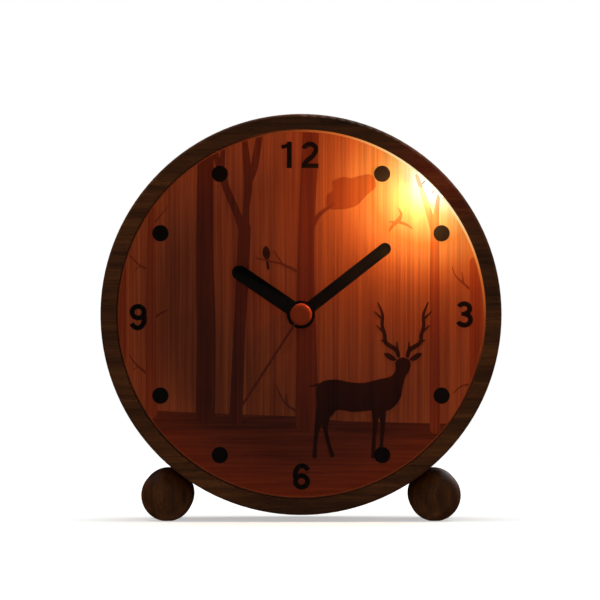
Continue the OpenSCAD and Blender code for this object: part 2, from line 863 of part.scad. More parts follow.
module hour_wheel() {
    color("#f2efe4") difference() {
        union() {
            wheel(hour_n, hour_m, hour_level, motion_dir);
            rod(hour_pipe_out, hour_level - wheel_t, hour_hand_z + hand_t);
        }
        rod(hour_pipe_in, hour_level - wheel_t - eps, hour_hand_z + hand_t + eps);
    }
}

module alarm_wheel() {
    color("#f2efe4") difference() {
        union() {
            wheel(alarm_n, alarm_m, alarm_level, alarm_dir);
            rod(alarm_pipe_out, alarm_level - wheel_t, alarm_hand_z + hand_t);
        }
        rod(alarm_pipe_in, alarm_level - wheel_t - eps, alarm_hand_z + hand_t + eps);
    }
}

module alarm_pinion() {
    color("#f2efe4") translate(alarm_at) {
        pinion(
            alarm_pinion_n, alarm_m, alarm_level + 0.2, pinion_t, gap_to(alarm_pinion_n, alarm_dir + 180)
        );
        set_shaft(alarm_level - wheel_t / 2);
    }
}

// Leaf that the hour wheel lifts at the alarm time, standing on the middle plate
module alarm_contact() {
    leaf_t = 0.15;
    leaf_z = hour_level - wheel_t - 0.3;
    color("#c8a24a") rotate(30) {
        translate([5, -0.9, leaf_z - leaf_t]) cube([12, 1.8, leaf_t]);
        translate([15.4, -0.9, middle_z]) cube([1.6, 1.8, leaf_z - leaf_t / 2 - middle_z]);
    }
}

// ---- Hands --------------------------------------------------------------------------------

module alarm_hand() {
    color("#141210")
        hand(alarm_angle, alarm_reach, alarm_w, hub_d, alarm_hand_z, hand_t, alarm_pipe_out);
}

module hour_hand() {
    color("#0b0a09")
        hand(hour_angle, hour_reach, hour_w, hub_d, hour_hand_z, hand_t, hour_pipe_out);
}

module minute_hand() {
    color("#0b0a09")
        hand(minute_angle, minute_reach, minute_w, hub_d, minute_hand_z, hand_t, minute_pipe_out);
}

module second_hand() {
    color("#c2480f")
        hand(second_angle, second_reach, second_w, cap_d / 2, second_hand_z, second_hand_t, arbor_r);
}

module centre_cap() {
    base_z = second_hand_z + second_hand_t;
    skirt_h = 0.5;
    dome_h = cap_h - skirt_h;
    dome_r = (pow(cap_d / 2, 2) + dome_h * dome_h) / (2 * dome_h);
    color("#e8601c") translate([0, 0, base_z]) difference() {
        union() {
            rod(cap_d / 2, 0, skirt_h);
            intersection() {
                translate([0, 0, cap_h - dome_r]) sphere(dome_r);
                rod(cap_d / 2, skirt_h - eps, cap_h + 1);
            }
        }
        rod(arbor_r, -eps, 0.4);
    }
}

// ---- Rear cover and controls --------------------------------------------------------------

module at_cover_screws() {
    for (i = [0 : 3]) rotate(i * 90 + 45) translate([cover_screw_at, 0]) children();
}

// Walls and floor of the battery bay, in front of the cover
module battery_bay() {
    outer = bay_in + [2 * bay_wall, 2 * bay_wall];
    difference() {
        block([0, -cell_drop], outer, cover_z - eps, bay_floor_z + bay_wall);
        block([0, -cell_drop], bay_in, cover_z - 1, bay_floor_z);
        for (x = [-1, 1]) {
            block([x * (bay_in[0] / 2 - contact_t / 2), -cell_drop], [contact_t, 4.2],
                bay_floor_z - eps, bay_floor_z + bay_wall + eps);
        }
    }
}

module at_board_screws() {
    for (x = [-1, 1]) translate([x * board_screw_x, board_screw_y]) children();
}

module rear_cover() {
    slot_size = slider_size + [switch_travel + 2 * slide_gap, 2 * slide_gap];
    color("#2f2621") difference() {
        union() {
            rotate_extrude() {
                translate([0, rear_z]) square([cover_r - edge_r, cover_t]);
                translate([0, rear_z + edge_r]) square([cover_r, cover_t - edge_r]);
                translate([cover_r - edge_r, rear_z + edge_r]) circle(edge_r);
            }
            battery_bay();
            at_board_screws() rod(1.9, cover_z - eps, board_z - board_t);
        }
        at_cover_screws() rod(cover_screw_d / 2 + 0.1, rear_z - eps, cover_z + eps);
        for (at = [motion_at, alarm_at]) {
            translate(at) rod(set_shaft_r + 0.3, rear_z - eps, cover_z + eps);
            translate(at) rod(knob_d / 2 + 0.8, rear_z - eps, rear_z + knob_dish_t);
        }
        block([0, -cell_drop], bay_in, rear_z - eps, cover_z + eps);
        block([-door_travel / 2, -cell_drop], door_size + [door_travel + 2 * slide_gap, 2 * slide_gap],
            rear_z - eps, rear_z + door_t + 0.1);
        translate([button_x, board_y]) rod(button_d / 2 + slide_gap, rear_z - eps, cover_z + eps);
        rounded_block([slider_x, board_y], slot_size, 0.8, rear_z - eps, cover_z + eps);
        translate([0, sound_hole_y]) {
            rod(sound_hole_r, rear_z - eps, cover_z + eps);
            for (i = [0 : 5]) {
                translate(polar(sound_hole_ring, i * 60)) rod(sound_hole_r, rear_z - eps, cover_z + eps);
            }
        }
        at_board_screws() rod(board_screw_r, cover_z + 1, board_z - board_t + eps);
    }
}

module cover_screws() {
    color("#b9bcc0") at_cover_screws() translate([0, 0, rear_z]) {
        screw(cover_screw_d / 2, cover_t + cover_screw_len, cover_head_r, 0.8);
    }
}

// Fluted knob with a blind hole for its shaft
module knob(at) {
    difference() {
        translate([at[0], at[1], knob_z]) difference() {
            rotate_extrude() {
                square([knob_d / 2 - edge_r, knob_h]);
                translate([0, edge_r]) square([knob_d / 2, knob_h - edge_r]);
                translate([knob_d / 2 - edge_r, edge_r]) circle(edge_r);
            }
            for (i = [0 : knob_flutes - 1]) {
                rotate(i * 360 / knob_flutes) translate([knob_d / 2 + 0.25, 0]) rod(0.6, -eps, knob_h - 1.2);
            }
        }
        translate(at) rod(set_shaft_r, set_shaft_end, rear_z + 1);
    }
}

module time_knob() {
    color("#1a1817") knob(motion_at);
}

module alarm_knob() {
    color("#1a1817") knob(alarm_at);
}

module control_board() {
    color("#1f6b3a") difference() {
        block([0, board_y], board_size, board_z - board_t, board_z);
        at_board_screws() rod(board_screw_r + 0.1, board_z - board_t - eps, board_z + eps);
    }
}

module board_screws() {
    color("#b9bcc0") at_board_screws() {
        translate([0, 0, board_z]) mirror([0, 0, 1]) screw(board_screw_r, 5, 1.6, 1);
    }
}

module tact_switch() {
    body_z = board_z - board_t - tact_size[2];
    color("#26272a") {
        block([button_x, board_y], [tact_size[0], tact_size[1]], body_z, board_z - board_t);
        translate([button_x, board_y]) rod(tact_plunger_r, body_z - tact_plunger_t, body_z + eps);
    }
}

// Button with a flange that keeps it behind the cover
module light_button() {
    flange_z = cover_z + slide_gap;
    color("#e9e4da") translate([button_x, board_y]) {
        rotate_extrude() {
            translate([0, rear_z - button_proud]) square([button_d / 2 - edge_r, 2]);
            translate([0, rear_z - button_proud + edge_r]) {
                square([button_d / 2, button_proud - edge_r + cover_t + slide_gap + button_flange_t]);
            }
            translate([button_d / 2 - edge_r, rear_z - button_proud + edge_r]) circle(edge_r);
        }
        rod(button_d / 2 + button_flange_w, flange_z, flange_z + button_flange_t);
    }
}

module slide_switch() {
    body_z = cover_z + slide_gap + slider_flange_t + 0.15;
    color("#3a3c40") block([slider_x, board_y], [12, 4.4], body_z, board_z - board_t);
}

// Slider shown at its off end; it moves towards +X on the bench
module alarm_slider() {
    at = [slider_x - switch_travel / 2, board_y];
    top_z = rear_z - slider_proud;
    flange_z = cover_z + slide_gap;
    color("#e9e4da") {
        rounded_block(at, slider_size, 0.6, top_z, flange_z + eps);
        rounded_block(at, slider_flange, 0.6, flange_z, flange_z + slider_flange_t);
        for (x = [-1, 0, 1]) {
            block(at + [x * 1.3, 0], [0.5, slider_size[1] - 0.8], top_z - 0.25, top_z + eps);
        }
    }
}

module buzzer() {
    color("#101113") translate([-6, board_y + 0.5, board_z]) difference() {
        rod(6, 0, 6.5);
        rod(1, 5.5, 6.6);
    }
}

// ---- Battery ------------------------------------------------------------------------------

// Runs along +X from one point, at the cell's height
module along_cell(x0, x1, d) {
    translate([x0, -cell_drop, cell_z]) rotate([0, 90, 0]) cylinder(h = x1 - x0, d = d);
}

module battery() {
    terminal_l = 1.3;
    terminal_d = 5.5;
    color("#3d6f9e") {
        along_cell(-cell_l / 2, cell_l / 2 - terminal_l, cell_d);
        along_cell(cell_l / 2 - terminal_l - eps, cell_l / 2, terminal_d);
    }
}

// Contact plate against the end wall, with a tab that passes through the bay's floor
module contact_plate(side) {
    x = side * (bay_in[0] / 2 - contact_t / 2);
    block([x, -cell_drop], [contact_t, 9], cell_z - 4.5, bay_floor_z);
    block([x, -cell_drop], [contact_t, 4], bay_floor_z - eps, bay_floor_z + bay_wall + 1.2);
}

module battery_plate() {
    color("#c9ccd1") {
        contact_plate(1);
        along_cell(cell_l / 2 + 0.05, bay_in[0] / 2 - contact_t + eps, 4.4);
    }
}

module battery_spring() {
    turns = 3;
    steps = 14;
    spring_d = 0.55;
    x0 = -bay_in[0] / 2 + contact_t + spring_d / 2 + 0.05;
    x1 = -cell_l / 2 - spring_d / 2 - 0.05;
    path = [
        for (i = [0 : turns * steps]) let (t = i / (turns * steps), r = 4 - 1.6 * t)
            [x0 + (x1 - x0) * t, -cell_drop + r * cos(t * turns * 360), cell_z + r * sin(t * turns * 360)]
    ];
    color("#c9ccd1") {
        contact_plate(-1);
        tube(path, spring_d, [1, 0, 0]);
    }
}

// Leads from the two contacts to the control board
module battery_wires() {
    corner = box_corners[2] + [column_d / 2, column_d / 2];
    for (side = [-1, 1]) {
        start = [side * (bay_in[0] / 2 - contact_t / 2), -cell_drop + 2.5, bay_floor_z + bay_wall + 0.8];
        end = [side * 12, board_y - board_size[1] / 2 + 1, board_z + 0.1];
        route = [
            start, start + [side * 1.5, 3, 0.5],
            [side * (corner[0] + 4.2), -cell_drop + 14, start[2] + 1],
            [side * (corner[0] + 7.2), 0, start[2] - 2],
            [side * (corner[0] + 6.2), corner[1] - 3.65, end[2] + 5],
            [side * (corner[0] - 1.8), corner[1] + 6.35, end[2] + 4.5],
            end + [side * 8, 1, 3.2], end + [side * 1.5, 0, 1.8], end
        ];
        color(side > 0 ? "#b3201a" : "#1c1c1e") tube(smooth(route, 4), wire_d, [1, 0, 0]);
    }
}

// Leads from the control board into the top of the movement, one a fixed step from the other
module movement_wires() {
    start = [-6, board_y - board_size[1] / 2 + 1.2, board_z + 0.5];
    end = [lead_notch_x, box_y1 - box_wall / 2, back_z + lead_notch[1] / 2];
    route = [start, start + [0, 0, 2], start + [-1.5, -1, 3.6], end + [2, 4, 0.8], end + [0, 1.8, 0], end];
    for (side = [-1, 1]) {
        lead = [for (p = route) p + side * [0.55, -0.55, 0]];
        color(side < 0 ? "#b3201a" : "#1c1c1e") tube(smooth(lead, 4), wire_d, [1, 0, 0]);
    }
}

// Door that slides towards -X until it lifts off, with a ribbed thumb pad
module battery_door() {
    ribs = 5;
    color("#2f2621") {
        block([0, -cell_drop], door_size, rear_z, rear_z + door_t);
        for (i = [0 : ribs - 1]) {
            block([door_size[0] / 2 - 5 - i * 1.8, -cell_drop], [0.8, 9], rear_z - 0.5, rear_z + eps);
        }
    }
}

placed() case_ring();
placed() foot_front_left();
placed() foot_front_right();
placed() foot_rear_left();
placed() foot_rear_right();
placed() foot_dowels();
placed() lens();
placed() inner_bezel();
placed() dial_plate();
placed() chassis();
placed() led_board();
placed() night_light_led();
placed() led_wires();
placed() movement_housing();
placed() middle_plate();
placed() movement_back();
placed() movement_screws();
placed() timer_board();
placed() timer_chip();
placed() quartz_crystal();
placed() stator();
placed() coil_core();
placed() coil_bobbin();
placed() coil_winding();
placed() rotor_magnet();
placed() rotor_pinion();
placed() intermediate_wheel();
placed() second_wheel();
placed() third_wheel();
placed() centre_wheel();
placed() clutch_spring();
placed() minute_pipe();
placed() motion_wheel();
placed() hour_wheel();
placed() alarm_wheel();
placed() alarm_pinion();
placed() alarm_contact();
placed() alarm_hand();
placed() hour_hand();
placed() minute_hand();
placed() second_hand();
placed() centre_cap();
placed() rear_cover();
placed() cover_screws();
placed() time_knob();
placed() alarm_knob();
placed() control_board();
placed() board_screws();
placed() tact_switch();
placed() light_button();
placed() slide_switch();
placed() alarm_slider();
placed() buzzer();
placed() battery();
placed() battery_spring();
placed() battery_plate();
placed() battery_wires();
placed() movement_wires();
placed() battery_door();
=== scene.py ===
# A round wooden alarm clock on ball feet: a printed wood-grain dial lit from its rim, black
# hands with an orange centre cap, and a plastic rear cover with the knobs, switches and cell.
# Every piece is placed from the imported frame. The clock faces -Y and stands on z = 0, in metres.
import math
import bmesh
import bpy
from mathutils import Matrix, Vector, geometry


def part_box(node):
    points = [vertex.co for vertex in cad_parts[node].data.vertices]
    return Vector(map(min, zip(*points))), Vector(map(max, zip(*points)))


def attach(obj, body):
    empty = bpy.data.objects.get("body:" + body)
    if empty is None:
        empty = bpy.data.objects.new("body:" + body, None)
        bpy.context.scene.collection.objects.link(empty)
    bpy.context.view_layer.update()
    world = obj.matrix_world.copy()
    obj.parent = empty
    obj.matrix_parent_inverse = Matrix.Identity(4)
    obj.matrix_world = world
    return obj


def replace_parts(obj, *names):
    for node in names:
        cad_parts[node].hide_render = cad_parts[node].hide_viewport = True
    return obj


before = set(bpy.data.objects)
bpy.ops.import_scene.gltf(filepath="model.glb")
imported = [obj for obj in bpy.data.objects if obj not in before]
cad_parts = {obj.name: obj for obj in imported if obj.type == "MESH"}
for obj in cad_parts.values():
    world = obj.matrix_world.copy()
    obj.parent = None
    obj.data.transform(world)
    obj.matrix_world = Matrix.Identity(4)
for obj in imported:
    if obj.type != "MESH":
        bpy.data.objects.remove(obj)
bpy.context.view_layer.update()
mm = 0.001

# ---- Case ring -------------------------------------------------------------------------------
# A ring turned from one walnut blank, so its grain runs straight across the clock. It is
# stained dark and oiled, and everything else sits inside it or is screwed to its back.
face_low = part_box("case_ring")[0]
led_low, led_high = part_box("night_light_led")
led_at = (led_low + led_high) / 2
# a painted reddish glow of the chip's light on the ring's front face: strongest beside the chip, and only on
# the front few millimetres
painted_glow_near, painted_glow_far, painted_glow_gain = 3 * mm, 22 * mm, 0.55
painted_glow_front, painted_glow_back = face_low.y + 1 * mm, face_low.y + 4 * mm


def linear(code):
    """An sRGB hex colour as the linear colour that a shader takes."""
    parts = [int(code[i:i + 2], 16) / 255 for i in (1, 3, 5)]
    return tuple(c / 12.92 if c <= 0.04045 else ((c + 0.055) / 1.055) ** 2.4 for c in parts) + (1.0,)


def add(tree, kind, inputs=(), stops=(), **settings):
    """Adds a node. Each input is a value or the node or socket that feeds it; stops fill a ramp."""
    node = tree.nodes.new("ShaderNode" + kind)
    for name, value in settings.items():
        setattr(node, name, value)
    for key, value in dict(inputs).items():
        if isinstance(value, bpy.types.Node):
            value = value.outputs[0]
        if isinstance(value, bpy.types.NodeSocket):
            tree.links.new(value, node.inputs[key])
        else:
            node.inputs[key].default_value = value
    for i, (position, colour) in enumerate(stops):
        ramp = node.color_ramp.elements
        stop = ramp[i] if i < 2 else ramp.new(position)
        stop.position = position
        stop.color = linear(colour)
    return node


def start(name):
    """A new material and its empty node tree."""
    made = bpy.data.materials.new(name)
    made.use_nodes = True
    made.node_tree.nodes.clear()
    return made, made.node_tree


def paint(finish, *nodes):
    """Gives CAD nodes a finish."""
    for name in nodes:
        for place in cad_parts[name].material_slots:
            place.material = finish


def oiled_walnut(name, along, shift, lit):
    """Stained, oiled walnut: a satin dark brown with long bands, fine fibres and short open pores."""
    made, tree = start(name)
    place = add(tree, "TexCoord").outputs["Object"]
    moved = add(tree, "Mapping", {"Vector": place, "Location": shift})
    band_size = [1 / (55 * mm) if i == along else 1 / (2.8 * mm) for i in range(3)]
    fibre_size = [1 / (9 * mm) if i == along else 1 / (0.35 * mm) for i in range(3)]
    pore_size = [1 / (2.6 * mm) if i == along else 1 / (0.22 * mm) for i in range(3)]
    banding = add(tree, "Mapping", {"Vector": moved, "Scale": band_size})
    fibre = add(tree, "Mapping", {"Vector": moved, "Scale": fibre_size})
    pore = add(tree, "Mapping", {"Vector": moved, "Scale": pore_size})
    bands = add(tree, "TexNoise", {"Vector": banding, "Scale": 1.0, "Detail": 3.0, "Distortion": 0.6})
    fibres = add(tree, "TexNoise", {"Vector": fibre, "Scale": 1.0, "Detail": 2.0})
    pores = add(tree, "TexNoise", {"Vector": pore, "Scale": 1.0, "Detail": 1.0})
    mixed = add(tree, "Mix", {"Factor": 0.32, 2: bands.outputs["Fac"], 3: fibres.outputs["Fac"]})
    wood = add(tree, "ValToRGB", {0: mixed.outputs[0]}, stops=(
        (0.3, "#3A1E08"), (0.7, "#7A4417"), (0.5, "#5C300F")))
    open_pores = add(tree, "ValToRGB", {0: pores.outputs["Fac"]}, stops=(
        (0.26, "#9A8C80"), (0.36, "#FFFFFF")))
    colour = add(tree, "Mix", {"Factor": 1.0, 6: wood, 7: open_pores},
                 data_type="RGBA", blend_type="MULTIPLY")
    roughness = add(tree, "MapRange", {"Value": fibres.outputs["Fac"], 3: 0.46, 4: 0.62})
    bump = add(tree, "Bump", {"Height": open_pores, "Strength": 0.35, "Distance": 0.06 * mm})
    shader = add(tree, "BsdfPrincipled", {
        "Base Color": colour.outputs[2], "Roughness": roughness, "Normal": bump, "IOR": 1.47,
        "Specular IOR Level": 0.2})
    # where lit, the front face near the chip gets a painted glow of the chip's light as emission
    if lit:
        offset = add(tree, "VectorMath", {0: place, 1: tuple(led_at)}, operation="DISTANCE").outputs["Value"]
        painted_ring_glow = add(tree, "MapRange", {"Value": offset, 1: painted_glow_near, 2: painted_glow_far, 3: painted_glow_gain, 4: 0.0},
                   interpolation_type="SMOOTHSTEP")
        depth = add(tree, "SeparateXYZ", {0: place}).outputs["Y"]
        front = add(tree, "MapRange", {"Value": depth, 1: painted_glow_front, 2: painted_glow_back, 3: 1.0, 4: 0.0})
        shown = add(tree, "Math", {0: painted_ring_glow, 1: front}, operation="MULTIPLY")
        tree.links.new(shown.outputs[0], shader.inputs["Emission Strength"])
        shader.inputs["Emission Color"].default_value = linear("#520D04")
    add(tree, "OutputMaterial", {"Surface": shader})
    return made


paint(oiled_walnut("walnut_turned_oiled", 0, (0.0, 0.0, 0.0), True), "case_ring")

# ---- Ball feet and dowels --------------------------------------------------------------------
# Four turned walnut balls with the same stain, coped to the ring and sanded flat underneath.
# Each hangs on a raw beech dowel glued into the ring and the ball.
for i, name in enumerate(("foot_front_left", "foot_front_right", "foot_rear_left", "foot_rear_right")):
    paint(oiled_walnut(f"walnut_ball_{i}", 2, (0.013 * i, 0.021 * i, 0.007), False), name)

# raw beech: pale, dry, with fine brown flecks along the dowel
beech, tree = start("beech_dowel_raw")
place = add(tree, "TexCoord").outputs["Object"]
flecks = add(tree, "Mapping", {"Vector": place, "Scale": [1 / (0.4 * mm), 1 / (0.4 * mm), 1 / (2.5 * mm)]})
fleck = add(tree, "TexNoise", {"Vector": flecks, "Scale": 1.0, "Detail": 2.0})
colour = add(tree, "ValToRGB", {0: fleck.outputs["Fac"]}, stops=((0.35, "#A9764A"), (0.6, "#D9B384")))
shader = add(tree, "BsdfPrincipled", {"Base Color": colour, "Roughness": 0.75})
add(tree, "OutputMaterial", {"Surface": shader})
paint(beech, "foot_dowels")

# ---- Lens ------------------------------------------------------------------------------------
# A flat disc of clear float glass dropped in behind the ring's lip. It shows only as a faint
# sheen, so lamps and shadows pass it untouched and the eye sees through it with little loss.
glass, tree = start("float_glass_clear")
path = add(tree, "LightPath")
unbent = add(tree, "Math", {0: path.outputs["Is Shadow Ray"], 1: path.outputs["Is Diffuse Ray"]},
             operation="MAXIMUM")
pane = add(tree, "BsdfPrincipled", {
    "Base Color": linear("#F7FBFA"), "Roughness": 0.0, "IOR": 1.45, "Transmission Weight": 1.0})
through = add(tree, "BsdfTransparent", {"Color": linear("#FAFCFB")})
shader = add(tree, "MixShader", {0: unbent, 1: pane, 2: through})
add(tree, "OutputMaterial", {"Surface": shader})
paint(glass, "lens")

# ---- Inner bezel -----------------------------------------------------------------------------
# A dark brown ABS ring that holds the lens off the dial, moulded and left satin. Its inner
# wall faces the chip, so it carries a painted bright line of the chip's light beside the glow, fading to
# none across the dial.
painted_line_reach = 110 * mm
bezel, tree = start("abs_bezel_satin")
place = add(tree, "TexCoord").outputs["Object"]
grain = add(tree, "TexNoise", {"Vector": place, "Scale": 1 / (0.5 * mm), "Detail": 2.0})
colour = add(tree, "ValToRGB", {0: grain.outputs["Fac"]}, stops=((0.3, "#2E1609"), (0.7, "#3B1D0D")))
distance = add(tree, "VectorMath", {0: place, 1: tuple(led_at)}, operation="DISTANCE").outputs["Value"]
share = add(tree, "Math", {0: distance, 1: painted_line_reach}, operation="DIVIDE")
# painted light: an emitted bright line that fades with distance from the chip
line = add(tree, "ValToRGB", {0: share}, stops=(
    (0.0, "#FFF6DC"), (1.0, "#000000"), (0.1, "#FFE3A8"), (0.17, "#F9B066"), (0.26, "#CF6A2C"),
    (0.38, "#7A3312"), (0.5, "#260C03")))
shader = add(tree, "BsdfPrincipled", {
    "Base Color": colour, "Roughness": 0.45, "Specular IOR Level": 0.3,
    "Emission Color": line, "Emission Strength": 1.0})
add(tree, "OutputMaterial", {"Surface": shader})
paint(bezel, "inner_bezel")

# ---- Dial plate ------------------------------------------------------------------------------
# A thin board faced with a printed wood-grain foil whose figure runs up and down. Its satin
# print has fine streaks, and carries a painted broad orange wash of the chip's light, with a painted orange
# glow toward its rim.
dial_low, dial_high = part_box("dial_plate")
centre = (dial_low + dial_high) / 2
dial_front = dial_low.y
dial_r = (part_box("lens")[1].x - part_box("lens")[0].x) / 2
painted_rim_glow_from, painted_rim_glow_gain = 36 * mm, 0.085

# The warm chip at the rim, at half past one, is painted on the dial as a wash of light that falls off
# across it, with a painted glare beside it. These are the painted colours that the printed wood sends
# back at each distance from the chip, in mm.
glow_stretch = (1.0, 0.0, 1.0)
glow_stops = (
    (0, "#FFFFF0"), (4, "#FFF8DC"), (6.5, "#FFE99E"), (9, "#FCD577"), (12, "#F5B75B"), (16.5, "#E7812F"),
    (19.5, "#DC762F"), (22, "#CC6522"), (25, "#B44C18"), (29, "#93350B"), (33, "#772807"),
    (39, "#661B03"), (46, "#531603"), (60, "#410D02"), (75, "#240300"),
)
glow_reach = glow_stops[-1][0] * mm
glare_along, glare_in = 15 * mm, 4.5 * mm
glare_gain = 0.75


def painted_lamp_glow(tree):
    """The chip's light painted at each point of a surface as a colour: a falling wash and a long glare
    beside the chip.
    """
    place = add(tree, "TexCoord").outputs["Object"]
    offset = add(tree, "VectorMath", {0: place, 1: tuple(led_at)}, operation="SUBTRACT")
    flat = add(tree, "VectorMath", {0: offset, 1: glow_stretch}, operation="MULTIPLY")
    distance = add(tree, "VectorMath", {0: flat}, operation="LENGTH").outputs["Value"]
    share = add(tree, "Math", {0: distance, 1: glow_reach}, operation="DIVIDE")
    last = glow_stops[-1][0]
    wash = add(tree, "ValToRGB", {0: share}, stops=[(d / last, colour) for d, colour in glow_stops])
    turned = add(tree, "Mapping", {"Vector": flat, "Rotation": (0, math.radians(45), 0),
                                   "Scale": (glare_along, 1, glare_in)}, vector_type="TEXTURE")
    spread = add(tree, "VectorMath", {0: turned}, operation="LENGTH").outputs["Value"]
    # painted glare: a long bright streak beside the chip
    painted_glare_share = add(tree, "MapRange", {"Value": spread, 3: glare_gain, 4: 0.0},
                interpolation_type="SMOOTHERSTEP")
    glare = add(tree, "VectorMath", {0: linear("#FFE8BE")[:3], "Scale": painted_glare_share.outputs[0]}, operation="SCALE")
    return add(tree, "VectorMath", {0: wash, 1: glare}, operation="ADD")


def printed_foil(name, ink, streaks):
    """Satin printed foil: the wood figure and the painted wash of the chip's light, both seen through one
    ink.
    """
    made, tree = start(name)
    place = add(tree, "TexCoord").outputs["Object"]
    offset = add(tree, "VectorMath", {0: place, 1: tuple(centre)}, operation="SUBTRACT")
    broad = add(tree, "Mapping", {"Vector": offset, "Scale": [s / mm for s in streaks["broad"]]})
    narrow = add(tree, "Mapping", {"Vector": offset, "Scale": [s / mm for s in streaks["narrow"]]})
    figure = add(tree, "TexNoise", {"Vector": broad, "Scale": 1.0, "Detail": 2.0, "Distortion": 0.3})
    lines = add(tree, "TexNoise", {"Vector": narrow, "Scale": 1.0, "Detail": 3.0})
    mixed = add(tree, "Mix", {"Factor": 0.68, 2: figure.outputs["Fac"], 3: lines.outputs["Fac"]})
    foil = add(tree, "ValToRGB", {0: mixed.outputs[0]}, stops=(
        (0.34, "#6A2910"), (0.66, "#94481F"), (0.5, "#7E3A17")))
    colour = add(tree, "Mix", {"Factor": 1.0, 6: foil, 7: linear(ink)},
                 data_type="RGBA", blend_type="MULTIPLY")
    shade = add(tree, "MapRange", {"Value": mixed.outputs[0], 1: 0.32, 2: 0.68, 3: 0.76, 4: 1.22})
    # a painted orange glow that grows toward the dial's rim
    level = add(tree, "VectorMath", {0: offset}, operation="LENGTH").outputs["Value"]
    rim = add(tree, "MapRange", {"Value": level, 1: painted_rim_glow_from, 2: dial_r, 3: 0.0, 4: painted_rim_glow_gain},
              interpolation_type="SMOOTHSTEP")
    edge = add(tree, "VectorMath", {0: linear("#FF6E35")[:3], "Scale": rim}, operation="SCALE")
    light = add(tree, "VectorMath", {0: painted_lamp_glow(tree), 1: edge}, operation="ADD")
    streaked = add(tree, "VectorMath", {0: light, "Scale": shade}, operation="SCALE")
    seen = add(tree, "VectorMath", {0: streaked, 1: linear(ink)[:3]}, operation="MULTIPLY")
    bump = add(tree, "Bump", {"Height": lines.outputs["Fac"], "Strength": 0.12, "Distance": 0.03 * mm})
    shader = add(tree, "BsdfPrincipled", {
        "Base Color": colour.outputs[2], "Roughness": 0.5, "Normal": bump, "IOR": 1.45,
        "Specular IOR Level": 0.25, "Emission Color": seen, "Emission Strength": 1.0})
    add(tree, "OutputMaterial", {"Surface": shader})
    return made


upright = {"broad": (1 / 4.5, 1 / 4.5, 1 / 90), "narrow": (1 / 0.55, 1 / 0.55, 1 / 45)}
paint(printed_foil("foil_wood_figure", "#FFFFFF", upright), "dial_plate")

# ---- Forest print ----------------------------------------------------------------------------
# Darker inks screened over the foil, each a thin film with a square edge: ground, trees, twigs,
# leaves, birds and a stag. Outlines are in millimetres from the dial's centre, x right, y up.
print_margin = 1.15 * mm
print_edge = (dial_r - print_margin) / mm
film_sink = 0.01 * mm
ground_film, tree_film, stag_film = 0.04 * mm, 0.07 * mm, 0.1 * mm
level_grain = {"broad": (1 / 40, 1 / 4, 1 / 3.0), "narrow": (1 / 18, 1 / 0.6, 1 / 0.6)}


def circle(r, x=0.0, y=0.0, steps=48):
    """The outline of a disc."""
    return [(x + r * math.cos(2 * math.pi * i / steps), y + r * math.sin(2 * math.pi * i / steps))
            for i in range(steps)]


def smooth(points, steps=6, closed=False):
    """A curve through a few points."""
    n = len(points)
    pick = (lambda i: points[i % n]) if closed else (lambda i: points[max(0, min(n - 1, i))])
    curve = []
    for i in range(n if closed else n - 1):
        a, b, c, d = (pick(i + k) for k in (-1, 0, 1, 2))
        for s in range(steps):
            t = s / steps
            curve.append(tuple(
                0.5 * (2 * q + (r - p) * t + (2 * p - 5 * q + 4 * r - u) * t ** 2
                       + (3 * q - p - 3 * r + u) * t ** 3)
                for p, q, r, u in zip(a, b, c, d)))
    return curve if closed else curve + [tuple(points[-1])]


def stroke(path, closed=False):
    """A line of changing width, as short four-sided outlines. Each point is x, y and the width there."""
    n = len(path)
    sides = []
    for i, (x, y, width) in enumerate(path):
        before = path[(i - 1) % n] if closed else path[max(0, i - 1)]
        after = path[(i + 1) % n] if closed else path[min(n - 1, i + 1)]
        across = Vector((before[1] - after[1], after[0] - before[0])).normalized() * width / 2
        sides.append(((x + across.x, y + across.y), (x - across.x, y - across.y)))
    pairs = [(sides[i], sides[(i + 1) % n]) for i in range(n if closed else n - 1)]
    return [[a[1], b[1], b[0], a[0]] for a, b in pairs]


def branch(*points):
    """A grown limb or line through a few points, with round ends."""
    ends = [circle(w / 2, x, y, 16) for x, y, w in (points[0], points[-1])]
    return stroke(smooth(points)) + ends


